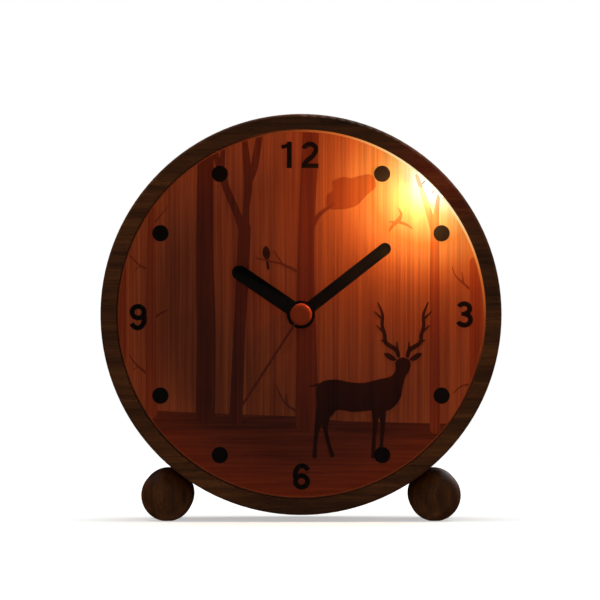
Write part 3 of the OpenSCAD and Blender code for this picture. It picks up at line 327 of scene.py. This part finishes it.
def flat_piece(name, shapes, thick, back, reach=None, bore=0.0, soft=0.0):
    """One flat piece from overlapping outlines, standing thick in front of the plane at back.
    Nothing is kept past reach or inside bore; soft rounds the front edge over."""
    corners, loops, cuts = [], [], []
    for outline in shapes:
        turn = sum(a[0] * b[1] - b[0] * a[1] for a, b in zip(outline, outline[1:] + outline[:1]))
        loops.append([len(corners) + i for i in range(len(outline))])
        corners += [Vector(p) for p in (outline if turn > 0 else outline[::-1])]
    for limit in [r for r in (reach, bore) if r]:
        first, rim = len(corners), circle(limit, steps=180)
        corners += [Vector(p) for p in rim]
        cuts += [(first + i, first + (i + 1) % len(rim)) for i in range(len(rim))]
    spots, _, faces, _, _, owners = geometry.delaunay_2d_cdt(corners, cuts, loops, 1, 0.0005)
    bm = bmesh.new()
    verts = [bm.verts.new((centre.x + p.x * mm, back, centre.z + p.y * mm)) for p in spots]
    for face, owner in zip(faces, owners):
        middle = sum((spots[i] for i in face), Vector((0, 0))) / len(face)
        if owner and middle.length > bore and not (reach and middle.length > reach):
            bm.faces.new([verts[i] for i in face])
    bmesh.ops.delete(bm, geom=[v for v in bm.verts if not v.link_faces], context="VERTS")
    bmesh.ops.dissolve_limit(bm, angle_limit=0.002, verts=bm.verts, edges=bm.edges)
    pulled = bmesh.ops.extrude_face_region(bm, geom=bm.faces[:])["geom"]
    fronts = [v for v in pulled if isinstance(v, bmesh.types.BMVert)]
    bmesh.ops.translate(bm, vec=(0, -thick, 0), verts=fronts)
    bmesh.ops.recalc_face_normals(bm, faces=bm.faces)
    if soft:
        rim = [e for e in bm.edges if all(v in fronts for v in e.verts) and e.calc_face_angle(0) > 1]
        bmesh.ops.bevel(bm, geom=rim, offset=soft, segments=2, affect="EDGES", profile=0.5)
    mesh = bpy.data.meshes.new(name)
    bm.to_mesh(mesh)
    bm.free()
    piece = bpy.data.objects.new(name, mesh)
    bpy.context.scene.collection.objects.link(piece)
    return piece


def print_on_dial(name, shapes, film, finish):
    """Screens one ink onto the dial, clipped at the print's edge."""
    piece = flat_piece(name, shapes, film + film_sink, dial_front + film_sink, reach=print_edge)
    piece.data.materials.append(finish)
    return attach(piece, "case")


far_ink = printed_foil("ink_far_ground", "#A68F82", level_grain)
near_ink = printed_foil("ink_near_ground", "#C4A594", level_grain)
pale_ink = printed_foil("ink_far_trees", "#DCBCA4", upright)
tree_ink = printed_foil("ink_left_trees", "#A98D79", upright)
middle_ink = printed_foil("ink_middle_tree", "#C09F88", upright)
leaf_ink = printed_foil("ink_leaves", "#D6B495", upright)
stag_ink = printed_foil("ink_stag", "#5E4E48", upright)

horizon = [(-54, -27), (-30, -28.4), (-2, -29.4), (12, -30.8), (54, -31.8)]
meadow = [(-54, -33.6), (-20, -33.4), (4, -32.8), (26, -35.4), (54, -36.6)]
print_on_dial("print_far_ground", [horizon + meadow[::-1]], ground_film, far_ink)
print_on_dial("print_near_ground", [meadow + [(54, -54), (-54, -54)]], ground_film, near_ink)

far_trees = (
    branch((-51.3, 14, 1.8), (-51.6, -14, 2.2))
    + branch((-43.0, 32, 1.9), (-43.3, 8, 2.8), (-43.1, -28.5, 3.2))
    + branch((38.6, 26, 2.4), (38.5, 4, 2.7), (38.6, -33, 3.0))
    + branch((38.5, 24, 2.2), (36.4, 31, 1.7), (33.4, 40, 1.0))
    + branch((38.6, 24, 2.0), (39.2, 31, 1.4), (40.3, 37, 0.8)) + branch((50.2, 15, 3.2), (50.4, -24, 3.8))
)
print_on_dial("print_far_trees", far_trees, tree_film, pale_ink)

near_trees = (
    branch((-27.4, 54, 4.6), (-27.7, 20, 4.9), (-27.3, -4, 5.3), (-27.6, -29, 5.6))
    + branch((-16.2, 25, 3.4), (-16.7, 14, 3.6), (-17.7, -4, 3.4), (-18.8, -30, 3.8))
    + branch((-16.6, 24, 2.6), (-18.4, 29, 2.1), (-21.2, 35.5, 2.1), (-23.0, 41, 2.0), (-25.6, 49, 1.4))
    + branch((-22.8, 42, 1.6), (-22.4, 49, 1.2))
    + branch((-16.0, 24, 2.4), (-15.8, 31, 1.9), (-15.3, 38, 2.5), (-16.2, 50, 1.6))
    + branch((-15.0, 39, 2.4), (-13.4, 43, 2.2), (-11.8, 53, 1.9))
)
print_on_dial("print_left_trees", near_trees, tree_film, tree_ink)

middle_tree = (
    branch((2.9, 54, 4.6), (2.4, 42, 4.8), (1.7, 28, 4.6), (1.3, 8, 5.2), (1.6, -12, 5.9), (1.8, -31, 6.8))
    + branch((3.4, 26, 1.8), (5.2, 28.6, 1.2), (9.4, 32, 0.8))
    + branch((0.4, 11.6, 1.1), (-5.2, 14.4, 0.6), (-12.9, 16.2, 0.3))
    + branch((-5.2, 14.4, 0.5), (-7.8, 18.4, 0.25))
    + branch((-0.6, -28.2, 0.9), (-4.6, -25.6, 0.5), (-7.2, -20.4, 0.25))
    + branch((-4.0, -26, 0.4), (-4.3, -22.8, 0.2))
)
print_on_dial("print_middle_tree", middle_tree, tree_film, middle_ink)

leaves = [smooth([
    (9.2, 38.4), (12.3, 39.6), (14.5, 39.3), (17.2, 40.0), (20.4, 40.2), (21.6, 36.9), (19.1, 34.5),
    (16.9, 32.1), (15.2, 31.0), (11.6, 30.3), (7.8, 30.8), (7.6, 34.2), (9.2, 35.8),
], 5, closed=True)]
print_on_dial("print_leaves", leaves, tree_film * 0.9, leaf_ink)

twigs = (
    branch((-49.4, 17, 0.25), (-46.5, 14.2, 0.5), (-43.4, 12.7, 0.8))
    + branch((-48.0, 12.6, 0.2), (-46.2, 14, 0.4))
    + branch((-49.6, -11.6, 0.25), (-47.6, -14.3, 0.5), (-43.8, -17.6, 0.8))
    + branch((-48.4, -16, 0.2), (-46.9, -15, 0.4))
    + branch((-43.0, -1.4, 0.8), (-40.6, 0.2, 0.5), (-38.2, 1.4, 0.25))
    + branch((-42.6, 26, 0.5), (-38.4, 31, 0.2))
    + branch((43.6, 13.6, 0.25), (44.6, 11.1, 0.4), (46.9, 8.9, 0.6), (49.4, 6.8, 0.9))
    + branch((46.3, 12, 0.25), (46.9, 9.2, 0.5))
    + branch((44.0, -22.6, 0.3), (46.4, -20.6, 0.4), (49.2, -20.2, 0.7))
)
print_on_dial("print_twigs", twigs, tree_film * 0.8, middle_ink)

perched_bird = [smooth([(-10.9, 19.0), (-10.1, 19.7), (-9.3, 19.0), (-8.9, 17.2), (-9.4, 15.6), (-9.1, 13.2),
                        (-9.7, 13.1), (-10.2, 15.6), (-11.0, 17.2)], closed=True)]
flying_bird = (branch((25.5, 24.1, 0.3), (26.7, 25.9, 1.1), (28.2, 27.2, 1.2), (28.9, 28.0, 0.5))
               + branch((28.0, 27.2, 1.0), (28.9, 28.8, 0.8), (28.1, 30.6, 0.2))
               + branch((27.8, 26.8, 0.9), (30.2, 26.0, 0.7), (32.2, 24.8, 0.2))
               + branch((26.8, 26.6, 0.7), (25.4, 26.8, 0.2)))
print_on_dial("print_perched_bird", perched_bird, tree_film * 0.9, stag_ink)
print_on_dial("print_flying_bird", flying_bird, tree_film * 0.9, leaf_ink)

stag_x = 29.4
stag_body = smooth([
    (4.4, -23.6), (4.6, -20.9), (6.6, -19.2), (10.2, -18.8), (14.4, -19.6), (18.4, -19.7), (22.4, -18.7),
    (25.8, -17.9), (27.2, -16.2), (27.3, -13.6), (29.4, -12.4), (31.5, -13.6), (31.3, -16.0), (30.0, -18.2),
    (29.3, -21.0), (28.7, -24.0), (27.0, -26.4), (24.8, -27.8), (21.0, -27.6), (15.4, -28.1), (10.6, -27.6),
    (8.6, -29.4), (5.2, -29.8)], closed=True)
legs = (
    branch((23.0, -26.5, 3.2), (23.6, -31, 1.5), (23.3, -36, 1.0), (23.0, -39.6, 1.2))
    + branch((21.6, -26.5, 2.6), (21.4, -32, 1.4), (21.0, -37, 1.1), (20.8, -40.9, 1.3))
    + branch((7.4, -27.5, 3.2), (7.0, -32.6, 1.4), (7.9, -37, 1.0), (9.0, -40.6, 1.3))
    + branch((5.8, -27.5, 3.0), (4.6, -33.6, 1.4), (4.1, -37, 1.1), (3.9, -40.9, 1.3))
)
tail = branch((5.4, -20.2, 0.8), (2.7, -20.7, 0.4))
antlers = []
for side in (-1, 1):
    for limb in (
            ((1.3, -12.0, 1.0), (2.0, -10.2, 1.3), (4.9, -8.2, 1.2), (5.3, -5.8, 1.1), (6.0, -3.2, 1.0),
             (5.9, 0.0, 0.8), (7.2, 3.4, 0.35)),
            ((1.6, -10.6, 0.8), (1.8, -7.9, 0.3)), ((4.7, -8.3, 0.8), (6.3, -7.4, 0.3)),
            ((5.4, -5.3, 0.8), (7.6, -3.2, 0.3)), ((5.9, -1.4, 0.8), (8.2, 0.8, 0.3))):
        antlers += branch(*[(stag_x + side * x, y, w) for x, y, w in limb])
    antlers += [smooth([(stag_x + side * x, y) for x, y in (
        (1.9, -13.2), (3.4, -13.3), (5.0, -12.2), (5.4, -11.2), (4.0, -11.2), (2.4, -12.3))], closed=True)]
print_on_dial("print_stag", [stag_body] + legs + tail + antlers, stag_film, stag_ink)

# ---- Hour dots and numerals ------------------------------------------------------------------
# Eight round dots and four plain numerals in thick black ink. They stand a fifth of a
# millimetre off the foil with a soft edge, and only the ones beside the chip carry a faint painted glow of
# its light.
mark_r = 46.8
dot_r = 2.35
ink_h = 0.18 * mm
ink_soft = 0.06 * mm
pen = 1.42

# satin black screen ink: deep black with a faint painted warm glow of the chip nearby
black_ink, tree = start("ink_black_raised")
place = add(tree, "TexCoord").outputs["Object"]
grain = add(tree, "TexNoise", {"Vector": place, "Scale": 1 / (0.25 * mm), "Detail": 2.0})
colour = add(tree, "ValToRGB", {0: grain.outputs["Fac"]}, stops=((0.3, "#060505"), (0.7, "#0D0A0A")))
painted_chip_glow = add(tree, "VectorMath", {0: painted_lamp_glow(tree), 1: (0.022, 0.014, 0.016)}, operation="MULTIPLY")
bump = add(tree, "Bump", {"Height": grain.outputs["Fac"], "Strength": 0.2, "Distance": 0.02 * mm})
shader = add(tree, "BsdfPrincipled", {
    "Base Color": colour, "Roughness": 0.6, "Normal": bump, "Specular IOR Level": 0.2,
    "Emission Color": painted_chip_glow, "Emission Strength": 1.0})
add(tree, "OutputMaterial", {"Surface": shader})


def mark(name, shapes):
    """One raised black mark on the dial."""
    piece = flat_piece(name, shapes, ink_h + film_sink, dial_front + film_sink, soft=ink_soft)
    piece.data.materials.append(black_ink)
    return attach(piece, "case")


def bow(x, y, rx, ry, first, last, steps=18):
    """Part of an oval, from one angle to another, at the pen's width."""
    angles = [math.radians(first + (last - first) * i / steps) for i in range(steps + 1)]
    return [(x + rx * math.cos(a), y + ry * math.sin(a), pen) for a in angles]


def moved(shapes, x, y, turn=1):
    """Outlines moved to a place, and turned upside down there where turn is -1."""
    return [[(x + turn * px, y + turn * py) for px, py in outline] for outline in shapes]


dots = []
for hour in range(12):
    if hour % 3:
        turn = math.radians(30 * hour)
        dots.append(circle(dot_r, mark_r * math.sin(turn), mark_r * math.cos(turn)))
mark("hour_dots", dots)

figure_h = 7.6
half_h = figure_h / 2
one = [[(-0.2, -half_h), (1.25, -half_h), (1.25, half_h), (0.15, half_h), (-0.2, half_h - 0.2)]]
one += stroke(smooth([(0.4, 3.6, 0.6), (-0.1, 2.75, 1.0), (-0.9, 2.4, 1.15), (-1.75, 2.35, 1.15)]))
two_tail = [(0.9, -0.3, pen), (-0.9, -1.75, pen), (-1.55, -2.6, pen), (-1.75, -3.2, pen)]
two_bow = bow(0.0, 1.55, 1.72, 1.55, 172, -20) + two_tail
two = stroke(two_bow) + [[(-2.45, -half_h), (2.45, -half_h), (2.45, -half_h + 1.3), (-2.45, -half_h + 1.3)]]
three = (stroke(bow(-0.05, 1.68, 1.62, 1.42, 158, -88)) + stroke(bow(-0.05, -1.5, 1.85, 1.6, 88, -160))
         + [[(-0.9, -0.45), (0.3, -0.45), (0.3, 0.75), (-0.9, 0.75)]])
six_bowl = bow(0.05, -1.45, 1.75, 1.65, 0, 360, 32)[:-1]
six_arm = bow(0.2, 0.35, 1.98, 2.75, 32, 196)
six = stroke(six_bowl, closed=True) + stroke(six_arm)
mark("numeral_12", moved(one, -3.9, mark_r - 0.8) + moved(two, 2.6, mark_r - 0.8))
mark("numeral_3", moved(three, mark_r + 0.3, 0.0))
mark("numeral_6", moved(six, 0.1, -mark_r + 0.1))
mark("numeral_9", moved(six, -mark_r - 0.1, -0.8, turn=-1))

# ---- Hands -----------------------------------------------------------------------------------
# Stamped aluminium hands in matt black lacquer, with softened edges, pressed onto their pipes.
# The alarm hand hides under the hour hand, and the seconds hand is a fine strip in dull orange.
hub_r = 4.05
hour_angle, minute_angle, second_angle = 304.2, 52.0, 212.9
edge_soft = 0.09 * mm


def lacquer(name, low, high, roughness, painted_glow_share):
    """Sprayed lacquer with a fine orange-peel skin, and a painted glow of what little of the chip's light
    reaches it.
    """
    made, tree = start(name)
    place = add(tree, "TexCoord").outputs["Object"]
    peel = add(tree, "TexNoise", {"Vector": place, "Scale": 1 / (0.5 * mm), "Detail": 2.0})
    colour = add(tree, "ValToRGB", {0: peel.outputs["Fac"]}, stops=((0.3, low), (0.7, high)))
    painted_chip_glow = add(tree, "VectorMath", {0: painted_lamp_glow(tree), 1: painted_glow_share}, operation="MULTIPLY")
    bump = add(tree, "Bump", {"Height": peel.outputs["Fac"], "Strength": 0.15, "Distance": 0.02 * mm})
    shader = add(tree, "BsdfPrincipled", {
        "Base Color": colour, "Roughness": roughness, "Normal": bump, "Specular IOR Level": 0.2,
        "Emission Color": painted_chip_glow, "Emission Strength": 1.0})
    add(tree, "OutputMaterial", {"Surface": shader})
    return made


def hand(node, body, finish, angle, reach, width, boss, bore):
    """A flat hand in place of its CAD node: a boss on its pipe, a straight arm and a round tip."""
    low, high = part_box(node)
    turn = math.radians(angle)
    tip = (reach - width / 2) * math.sin(turn), (reach - width / 2) * math.cos(turn)
    shapes = [circle(boss, steps=72), circle(width / 2, *tip, steps=24)]
    shapes += stroke([(0, 0, width), (tip[0], tip[1], width)])
    piece = flat_piece(node + "_lacquered", shapes, high.y - low.y, high.y, bore=bore, soft=edge_soft)
    piece.data.materials.append(finish)
    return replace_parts(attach(piece, body), node)


# each lacquer's last value scales the painted glow of the chip's light on it
black_lacquer = lacquer("lacquer_black_matt", "#040404", "#0A0909", 0.7, (0.003, 0.003, 0.003))
red_lacquer = lacquer("lacquer_red_brown", "#5E1C08", "#73260D", 0.5, (0.12, 0.1, 0.1))
hand("alarm_hand", "alarm", black_lacquer, hour_angle,
     reach=18.0, width=1.8, boss=hub_r, bore=2.63)
hand("hour_hand", "hours", black_lacquer, hour_angle,
     reach=23.6, width=4.4, boss=hub_r, bore=1.92)
hand("minute_hand", "minutes", black_lacquer, minute_angle,
     reach=32.4, width=3.5, boss=hub_r, bore=1.21)
hand("second_hand", "seconds", red_lacquer, second_angle,
     reach=32.0, width=0.7, boss=1.57, bore=0.5)

# ---- Centre cap ------------------------------------------------------------------------------
# A small orange cap pressed on the end of the seconds arbor, turned with a flat top and a
# rounded shoulder. The shoulder catches the chip's lamp as a bright crescent, over a painted glow of the
# chip's light across the cap.
cap_low, cap_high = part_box("centre_cap")
cap_r, cap_h = (cap_high.x - cap_low.x) / 2, cap_high.y - cap_low.y
cap_crown = [(0.0, 1.0), (0.45, 0.985), (0.72, 0.94), (0.86, 0.85), (0.95, 0.68), (1.0, 0.4)]
cap_skirt = [(1.0, 0.0), (0.0, 0.0)]


def turned(name, profile, origin, radius, height, steps=96):
    """A turned piece on the dial's axis. The profile runs from the front centre to the back."""
    bm = bmesh.new()
    rows = []
    for share, level in profile:
        y = origin.y - level * height
        if share == 0:
            rows.append([bm.verts.new((origin.x, y, origin.z))] * steps)
            continue
        rim = circle(share * radius, origin.x, origin.z, steps)
        rows.append([bm.verts.new((x, y, z)) for x, z in rim])
    for first, second in zip(rows, rows[1:]):
        for i in range(steps):
            loop = [first[i], first[(i + 1) % steps], second[(i + 1) % steps], second[i]]
            bm.faces.new(list(dict.fromkeys(loop)))
    bmesh.ops.recalc_face_normals(bm, faces=bm.faces)
    for face in bm.faces:
        face.smooth = True
    for edge in bm.edges:
        edge.smooth = edge.calc_face_angle(0) < 0.7
    mesh = bpy.data.meshes.new(name)
    bm.to_mesh(mesh)
    bm.free()
    piece = bpy.data.objects.new(name, mesh)
    bpy.context.scene.collection.objects.link(piece)
    return piece


cap_base = Vector(((cap_low.x + cap_high.x) / 2, cap_high.y, (cap_low.z + cap_high.z) / 2))
curve = smooth(cap_crown, 5) + cap_skirt
cap = turned("centre_cap_turned", curve, cap_base, cap_r, cap_h)
cap.data.materials.append(lacquer("lacquer_orange_cap", "#9A300A", "#AE3C10", 0.3, (0.25, 0.18, 0.12)))
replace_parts(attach(cap, "seconds"), "centre_cap")

# ---- Moulded plastic -------------------------------------------------------------------------
# The rear cover and door are dark brown ABS with a fine spark-eroded texture, the knobs smoother.
# The chassis, movement box and buttons are paler ABS, and the wheels are milky acetal.


def moulded(name, low, high, roughness, bump_mm=0.03, cell=0.45, milky=0.0):
    """Moulded plastic: near-even colour with faint flow clouding, and a fine texture from the mould."""
    made, tree = start(name)
    place = add(tree, "TexCoord").outputs["Object"]
    flow = add(tree, "TexNoise", {"Vector": place, "Scale": 1 / (14 * mm), "Detail": 2.0, "Distortion": 0.5})
    skin = add(tree, "TexNoise", {"Vector": place, "Scale": 1 / (cell * mm), "Detail": 2.0})
    colour = add(tree, "ValToRGB", {0: flow.outputs["Fac"]}, stops=((0.3, low), (0.7, high)))
    rough = add(tree, "MapRange", {"Value": skin.outputs["Fac"], 3: roughness - 0.06, 4: roughness + 0.06})
    bump = add(tree, "Bump", {"Height": skin.outputs["Fac"], "Strength": 0.3, "Distance": bump_mm * mm})
    shader = add(tree, "BsdfPrincipled", {
        "Base Color": colour, "Roughness": rough, "Normal": bump, "IOR": 1.5,
        "Subsurface Weight": milky, "Subsurface Scale": 0.4 * mm})
    add(tree, "OutputMaterial", {"Surface": shader})
    return made


paint(moulded("abs_brown_textured", "#33241C", "#3E2D23", 0.6), "rear_cover", "battery_door")
paint(moulded("abs_brown_smooth", "#2A1D16", "#35261D", 0.38), "time_knob", "alarm_knob")
paint(moulded("abs_cream", "#D8CCB2", "#E3D9C3", 0.42), "light_button", "alarm_slider")
paint(moulded("abs_white_housing", "#DAD5C8", "#E8E4DA", 0.48),
      "chassis", "movement_housing", "middle_plate", "movement_back")
paint(moulded("pbt_black", "#151414", "#1F1D1C", 0.5),
      "timer_chip", "coil_bobbin", "buzzer", "tact_switch", "slide_switch")
paint(moulded("acetal_milky", "#E6E2D6", "#F0EDE4", 0.36, 0.01, 0.3, 0.2),
      "rotor_pinion", "intermediate_wheel", "third_wheel", "motion_wheel",
      "hour_wheel", "alarm_wheel", "alarm_pinion")
paint(moulded("pvc_wire_sleeve", "#7E1712", "#97201A", 0.35, 0.01),
      "led_wires", "battery_wires", "movement_wires")

# ---- Metal parts -----------------------------------------------------------------------------
# Brass wheels and pipe, bronze springs, zinc-plated screws, nickelled contacts, a copper coil on
# silicon-steel laminations, and a sintered magnet. Each shows its own tone, brushing and haze.


def metal(name, low, high, roughness, metallic=1.0, streak=(1, 1, 1)):
    """A bare or plated metal whose tone and roughness drift, with fine marks from its making."""
    made, tree = start(name)
    place = add(tree, "TexCoord").outputs["Object"]
    haze = add(tree, "TexNoise", {"Vector": place, "Scale": 1 / (2.5 * mm), "Detail": 3.0})
    drawn = add(tree, "Mapping", {"Vector": place, "Scale": [s / (0.25 * mm) for s in streak]})
    marks = add(tree, "TexNoise", {"Vector": drawn, "Scale": 1.0, "Detail": 2.0})
    colour = add(tree, "ValToRGB", {0: haze.outputs["Fac"]}, stops=((0.3, low), (0.7, high)))
    rough = add(tree, "MapRange", {"Value": marks.outputs["Fac"], 3: roughness - 0.08, 4: roughness + 0.1})
    bump = add(tree, "Bump", {"Height": marks.outputs["Fac"], "Strength": 0.15, "Distance": 0.02 * mm})
    shader = add(tree, "BsdfPrincipled", {
        "Base Color": colour, "Roughness": rough, "Metallic": metallic, "Normal": bump})
    add(tree, "OutputMaterial", {"Surface": shader})
    return made


paint(metal("brass_stamped", "#C79A45", "#DDB562", 0.32), "second_wheel", "centre_wheel", "minute_pipe")
paint(metal("phosphor_bronze", "#B47A4A", "#C98F5C", 0.3), "clutch_spring", "alarm_contact")
paint(metal("zinc_plate_bright", "#B4B8BB", "#CBCED0", 0.34),
      "movement_screws", "cover_screws", "board_screws", "quartz_crystal")
paint(metal("nickel_plate", "#B9B4A8", "#CFCBC0", 0.28), "battery_spring", "battery_plate")
paint(metal("silicon_steel_rolled", "#7F8285", "#989B9D", 0.42, 1.0, (1, 1, 0.08)), "stator", "coil_core")
paint(metal("ferrite_sintered", "#2B2C2E", "#3A3B3D", 0.6, 0.3), "rotor_magnet")

# enamelled copper wire: glossy orange turns side by side round the core, drawn coarser than
# real ones, at about 1 mm a turn
winding, tree = start("copper_wire_enamelled")
place = add(tree, "TexCoord").outputs["Object"]
turns = add(tree, "TexWave", {"Vector": place, "Scale": 1 / (3.2 * mm), "Distortion": 0.3},
            bands_direction="Z")
colour = add(tree, "ValToRGB", {0: turns.outputs["Fac"]}, stops=((0.1, "#6E2C12"), (0.8, "#C7683A")))
bump = add(tree, "Bump", {"Height": turns.outputs["Fac"], "Strength": 0.6, "Distance": 0.1 * mm})
shader = add(tree, "BsdfPrincipled", {
    "Base Color": colour, "Roughness": 0.25, "Metallic": 0.9, "Normal": bump})
add(tree, "OutputMaterial", {"Surface": shader})
paint(winding, "coil_winding")

# ---- Boards, chip and cell -------------------------------------------------------------------
# Glass-epoxy boards under solder mask, green inside and white at the light, the lit chip, and
# an AA cell in a printed foil jacket with a plain copper-coloured band and no lettering.


def board(name, mask, track, lit=0.0):
    """Solder mask over copper tracks, which show as slightly paler raised lines, with a painted glow as
    strong as lit.
    """
    made, tree = start(name)
    place = add(tree, "TexCoord").outputs["Object"]
    cells = add(tree, "TexVoronoi", {"Vector": place, "Scale": 1 / (3.5 * mm)},
                distance="MANHATTAN", feature="F1")
    tracks = add(tree, "ValToRGB", {0: cells.outputs["Distance"]}, stops=((0.42, mask), (0.5, track)))
    bump = add(tree, "Bump", {"Height": cells.outputs["Distance"], "Strength": 0.1, "Distance": 0.04 * mm})
    shader = add(tree, "BsdfPrincipled", {
        "Base Color": tracks, "Roughness": 0.35, "Normal": bump,
        "Emission Color": linear("#FFF3D8"), "Emission Strength": lit})
    add(tree, "OutputMaterial", {"Surface": shader})
    return made


paint(board("solder_mask_green", "#12452A", "#1B5C38"), "timer_board", "control_board")
# the white board beside the chip carries a painted glow, as if lit by it
paint(board("solder_mask_white", "#ECE9E0", "#E0DCCF", 1.1), "led_board")

# the chip's epoxy lens: so bright that only a little unevenness shows in it
chip, tree = start("led_epoxy_lit")
place = add(tree, "TexCoord").outputs["Object"]
phosphor = add(tree, "TexNoise", {"Vector": place, "Scale": 1 / (0.8 * mm), "Detail": 1.0})
colour = add(tree, "ValToRGB", {0: phosphor.outputs["Fac"]}, stops=((0.3, "#FFF4D6"), (0.7, "#FFFFF2")))
shader = add(tree, "BsdfPrincipled", {
    "Base Color": colour, "Roughness": 0.2, "Emission Color": colour, "Emission Strength": 1.6})
add(tree, "OutputMaterial", {"Surface": shader})
paint(chip, "night_light_led")

# the cell's jacket: black foil with a copper-coloured third at the positive end, slightly glossy
cell_low, cell_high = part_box("battery")
jacket, tree = start("cell_foil_jacket")
place = add(tree, "TexCoord").outputs["Object"]
parts = add(tree, "SeparateXYZ", {0: place})
along = add(tree, "MapRange", {"Value": parts.outputs["X"], 1: cell_low.x, 2: cell_high.x})
colour = add(tree, "ValToRGB", {0: along}, stops=(
    (0.0, "#A9A59B"), (1.0, "#A9A59B"), (0.012, "#16171A"), (0.64, "#16171A"),
    (0.66, "#B0682F"), (0.97, "#B0682F")))
wrinkle = add(tree, "TexNoise", {"Vector": place, "Scale": 1 / (3 * mm), "Detail": 2.0})
bump = add(tree, "Bump", {"Height": wrinkle.outputs["Fac"], "Strength": 0.15, "Distance": 0.03 * mm})
shader = add(tree, "BsdfPrincipled", {
    "Base Color": colour, "Roughness": 0.3, "Metallic": 0.35, "Normal": bump})
add(tree, "OutputMaterial", {"Surface": shader})
paint(jacket, "battery")

# ---- Floor, light and camera -----------------------------------------------------------------
# A pale matt table that fades into a white studio, under broad soft lamps overhead and behind. The
# room in front is left dark, so the lens and black hands stay black and the night light shows.
floor_r = 0.62
floor_fade = 0.30
mesh = bpy.data.meshes.new("studio_floor")
mesh.from_pydata([(x * floor_r, y * floor_r, 0) for x, y in circle(1, steps=96)], [], [range(96)])
floor = bpy.data.objects.new("studio_floor", mesh)
floor.visible_glossy = False
floor.visible_diffuse = False
floor.visible_transmission = False
bpy.context.scene.collection.objects.link(floor)
paper, tree = start("studio_paper_matt")
place = add(tree, "TexCoord").outputs["Object"]
out_from_clock = add(tree, "VectorMath", {0: place}, operation="LENGTH").outputs["Value"]
fade = add(tree, "MapRange", {"Value": out_from_clock, 1: floor_fade, 2: floor_r, 3: 0.0, 4: 1.0},
           interpolation_type="SMOOTHSTEP")
matt = add(tree, "BsdfDiffuse", {"Color": linear("#F6F5F3"), "Roughness": 0.5})
bounce = add(tree, "Emission", {"Color": linear("#FFFFFF"), "Strength": 0.45})
sheet = add(tree, "AddShader", {0: matt, 1: bounce})
clear = add(tree, "BsdfTransparent", {})
add(tree, "OutputMaterial", {"Surface": add(tree, "MixShader", {0: fade, 1: sheet, 2: clear})})
floor.data.materials.append(paper)

world = bpy.data.worlds.new("studio_air")
bpy.context.scene.world = world
world.use_nodes = True
tree = world.node_tree
tree.nodes.clear()
path = add(tree, "LightPath")
air = add(tree, "Background", {"Color": (1.0, 1.0, 1.0, 1.0), "Strength": 0.26})
night = add(tree, "Background", {"Color": (1.0, 1.0, 1.0, 1.0), "Strength": 0.012})
backdrop = add(tree, "Background", {"Color": (1.0, 1.0, 1.0, 1.0), "Strength": 1.0})
unseen = add(tree, "MixShader", {0: path.outputs["Is Diffuse Ray"], 1: night, 2: air})
around = add(tree, "MixShader", {0: path.outputs["Is Camera Ray"], 1: unseen, 2: backdrop})
add(tree, "OutputWorld", {"Surface": around})


def softbox(name, at, size, power, colour="#FFFFFF", aim=None):
    """A soft rectangular lamp, aimed at the clock unless it says otherwise."""
    lamp = bpy.data.lights.new(name, "AREA")
    lamp.shape = "RECTANGLE"
    lamp.size, lamp.size_y = size
    lamp.energy = power
    lamp.color = linear(colour)[:3]
    holder = bpy.data.objects.new(name, lamp)
    holder.location = at
    toward = (aim or Vector((0, 0, 0.05))) - Vector(at)
    holder.rotation_euler = toward.to_track_quat("-Z", "Y").to_euler()
    bpy.context.scene.collection.objects.link(holder)


softbox("top_light", (0.0, 0.25, 1.3), (1.6, 1.6), 16.0)
softbox("back_light", (0.7, 1.3, 0.8), (1.0, 1.0), 9.0)
lamp_aim = Vector((centre.x, led_at.y, centre.z))
lamp_at = led_at + (lamp_aim - led_at).normalized() * 1.5 * mm
softbox("chip_light", tuple(lamp_at), (3 * mm, 2 * mm), 0.05, "#FFB468", lamp_aim)

view_width = 171.86 * mm
view_right, view_up = -0.29 * mm, 4.15 * mm
camera_distance = 1.5
sensor = 36.0
camera = bpy.data.cameras.new("camera")
camera.sensor_width = sensor
camera.lens = sensor * camera_distance / view_width
camera.clip_start = 0.01
camera_holder = bpy.data.objects.new("camera", camera)
camera_holder.location = (view_right, face_low.y - camera_distance, centre.z + view_up)
camera_holder.rotation_euler = (math.pi / 2, 0, 0)
bpy.context.scene.collection.objects.link(camera_holder)
bpy.context.scene.camera = camera_holder
bpy.context.scene.view_settings.view_transform = "Standard"
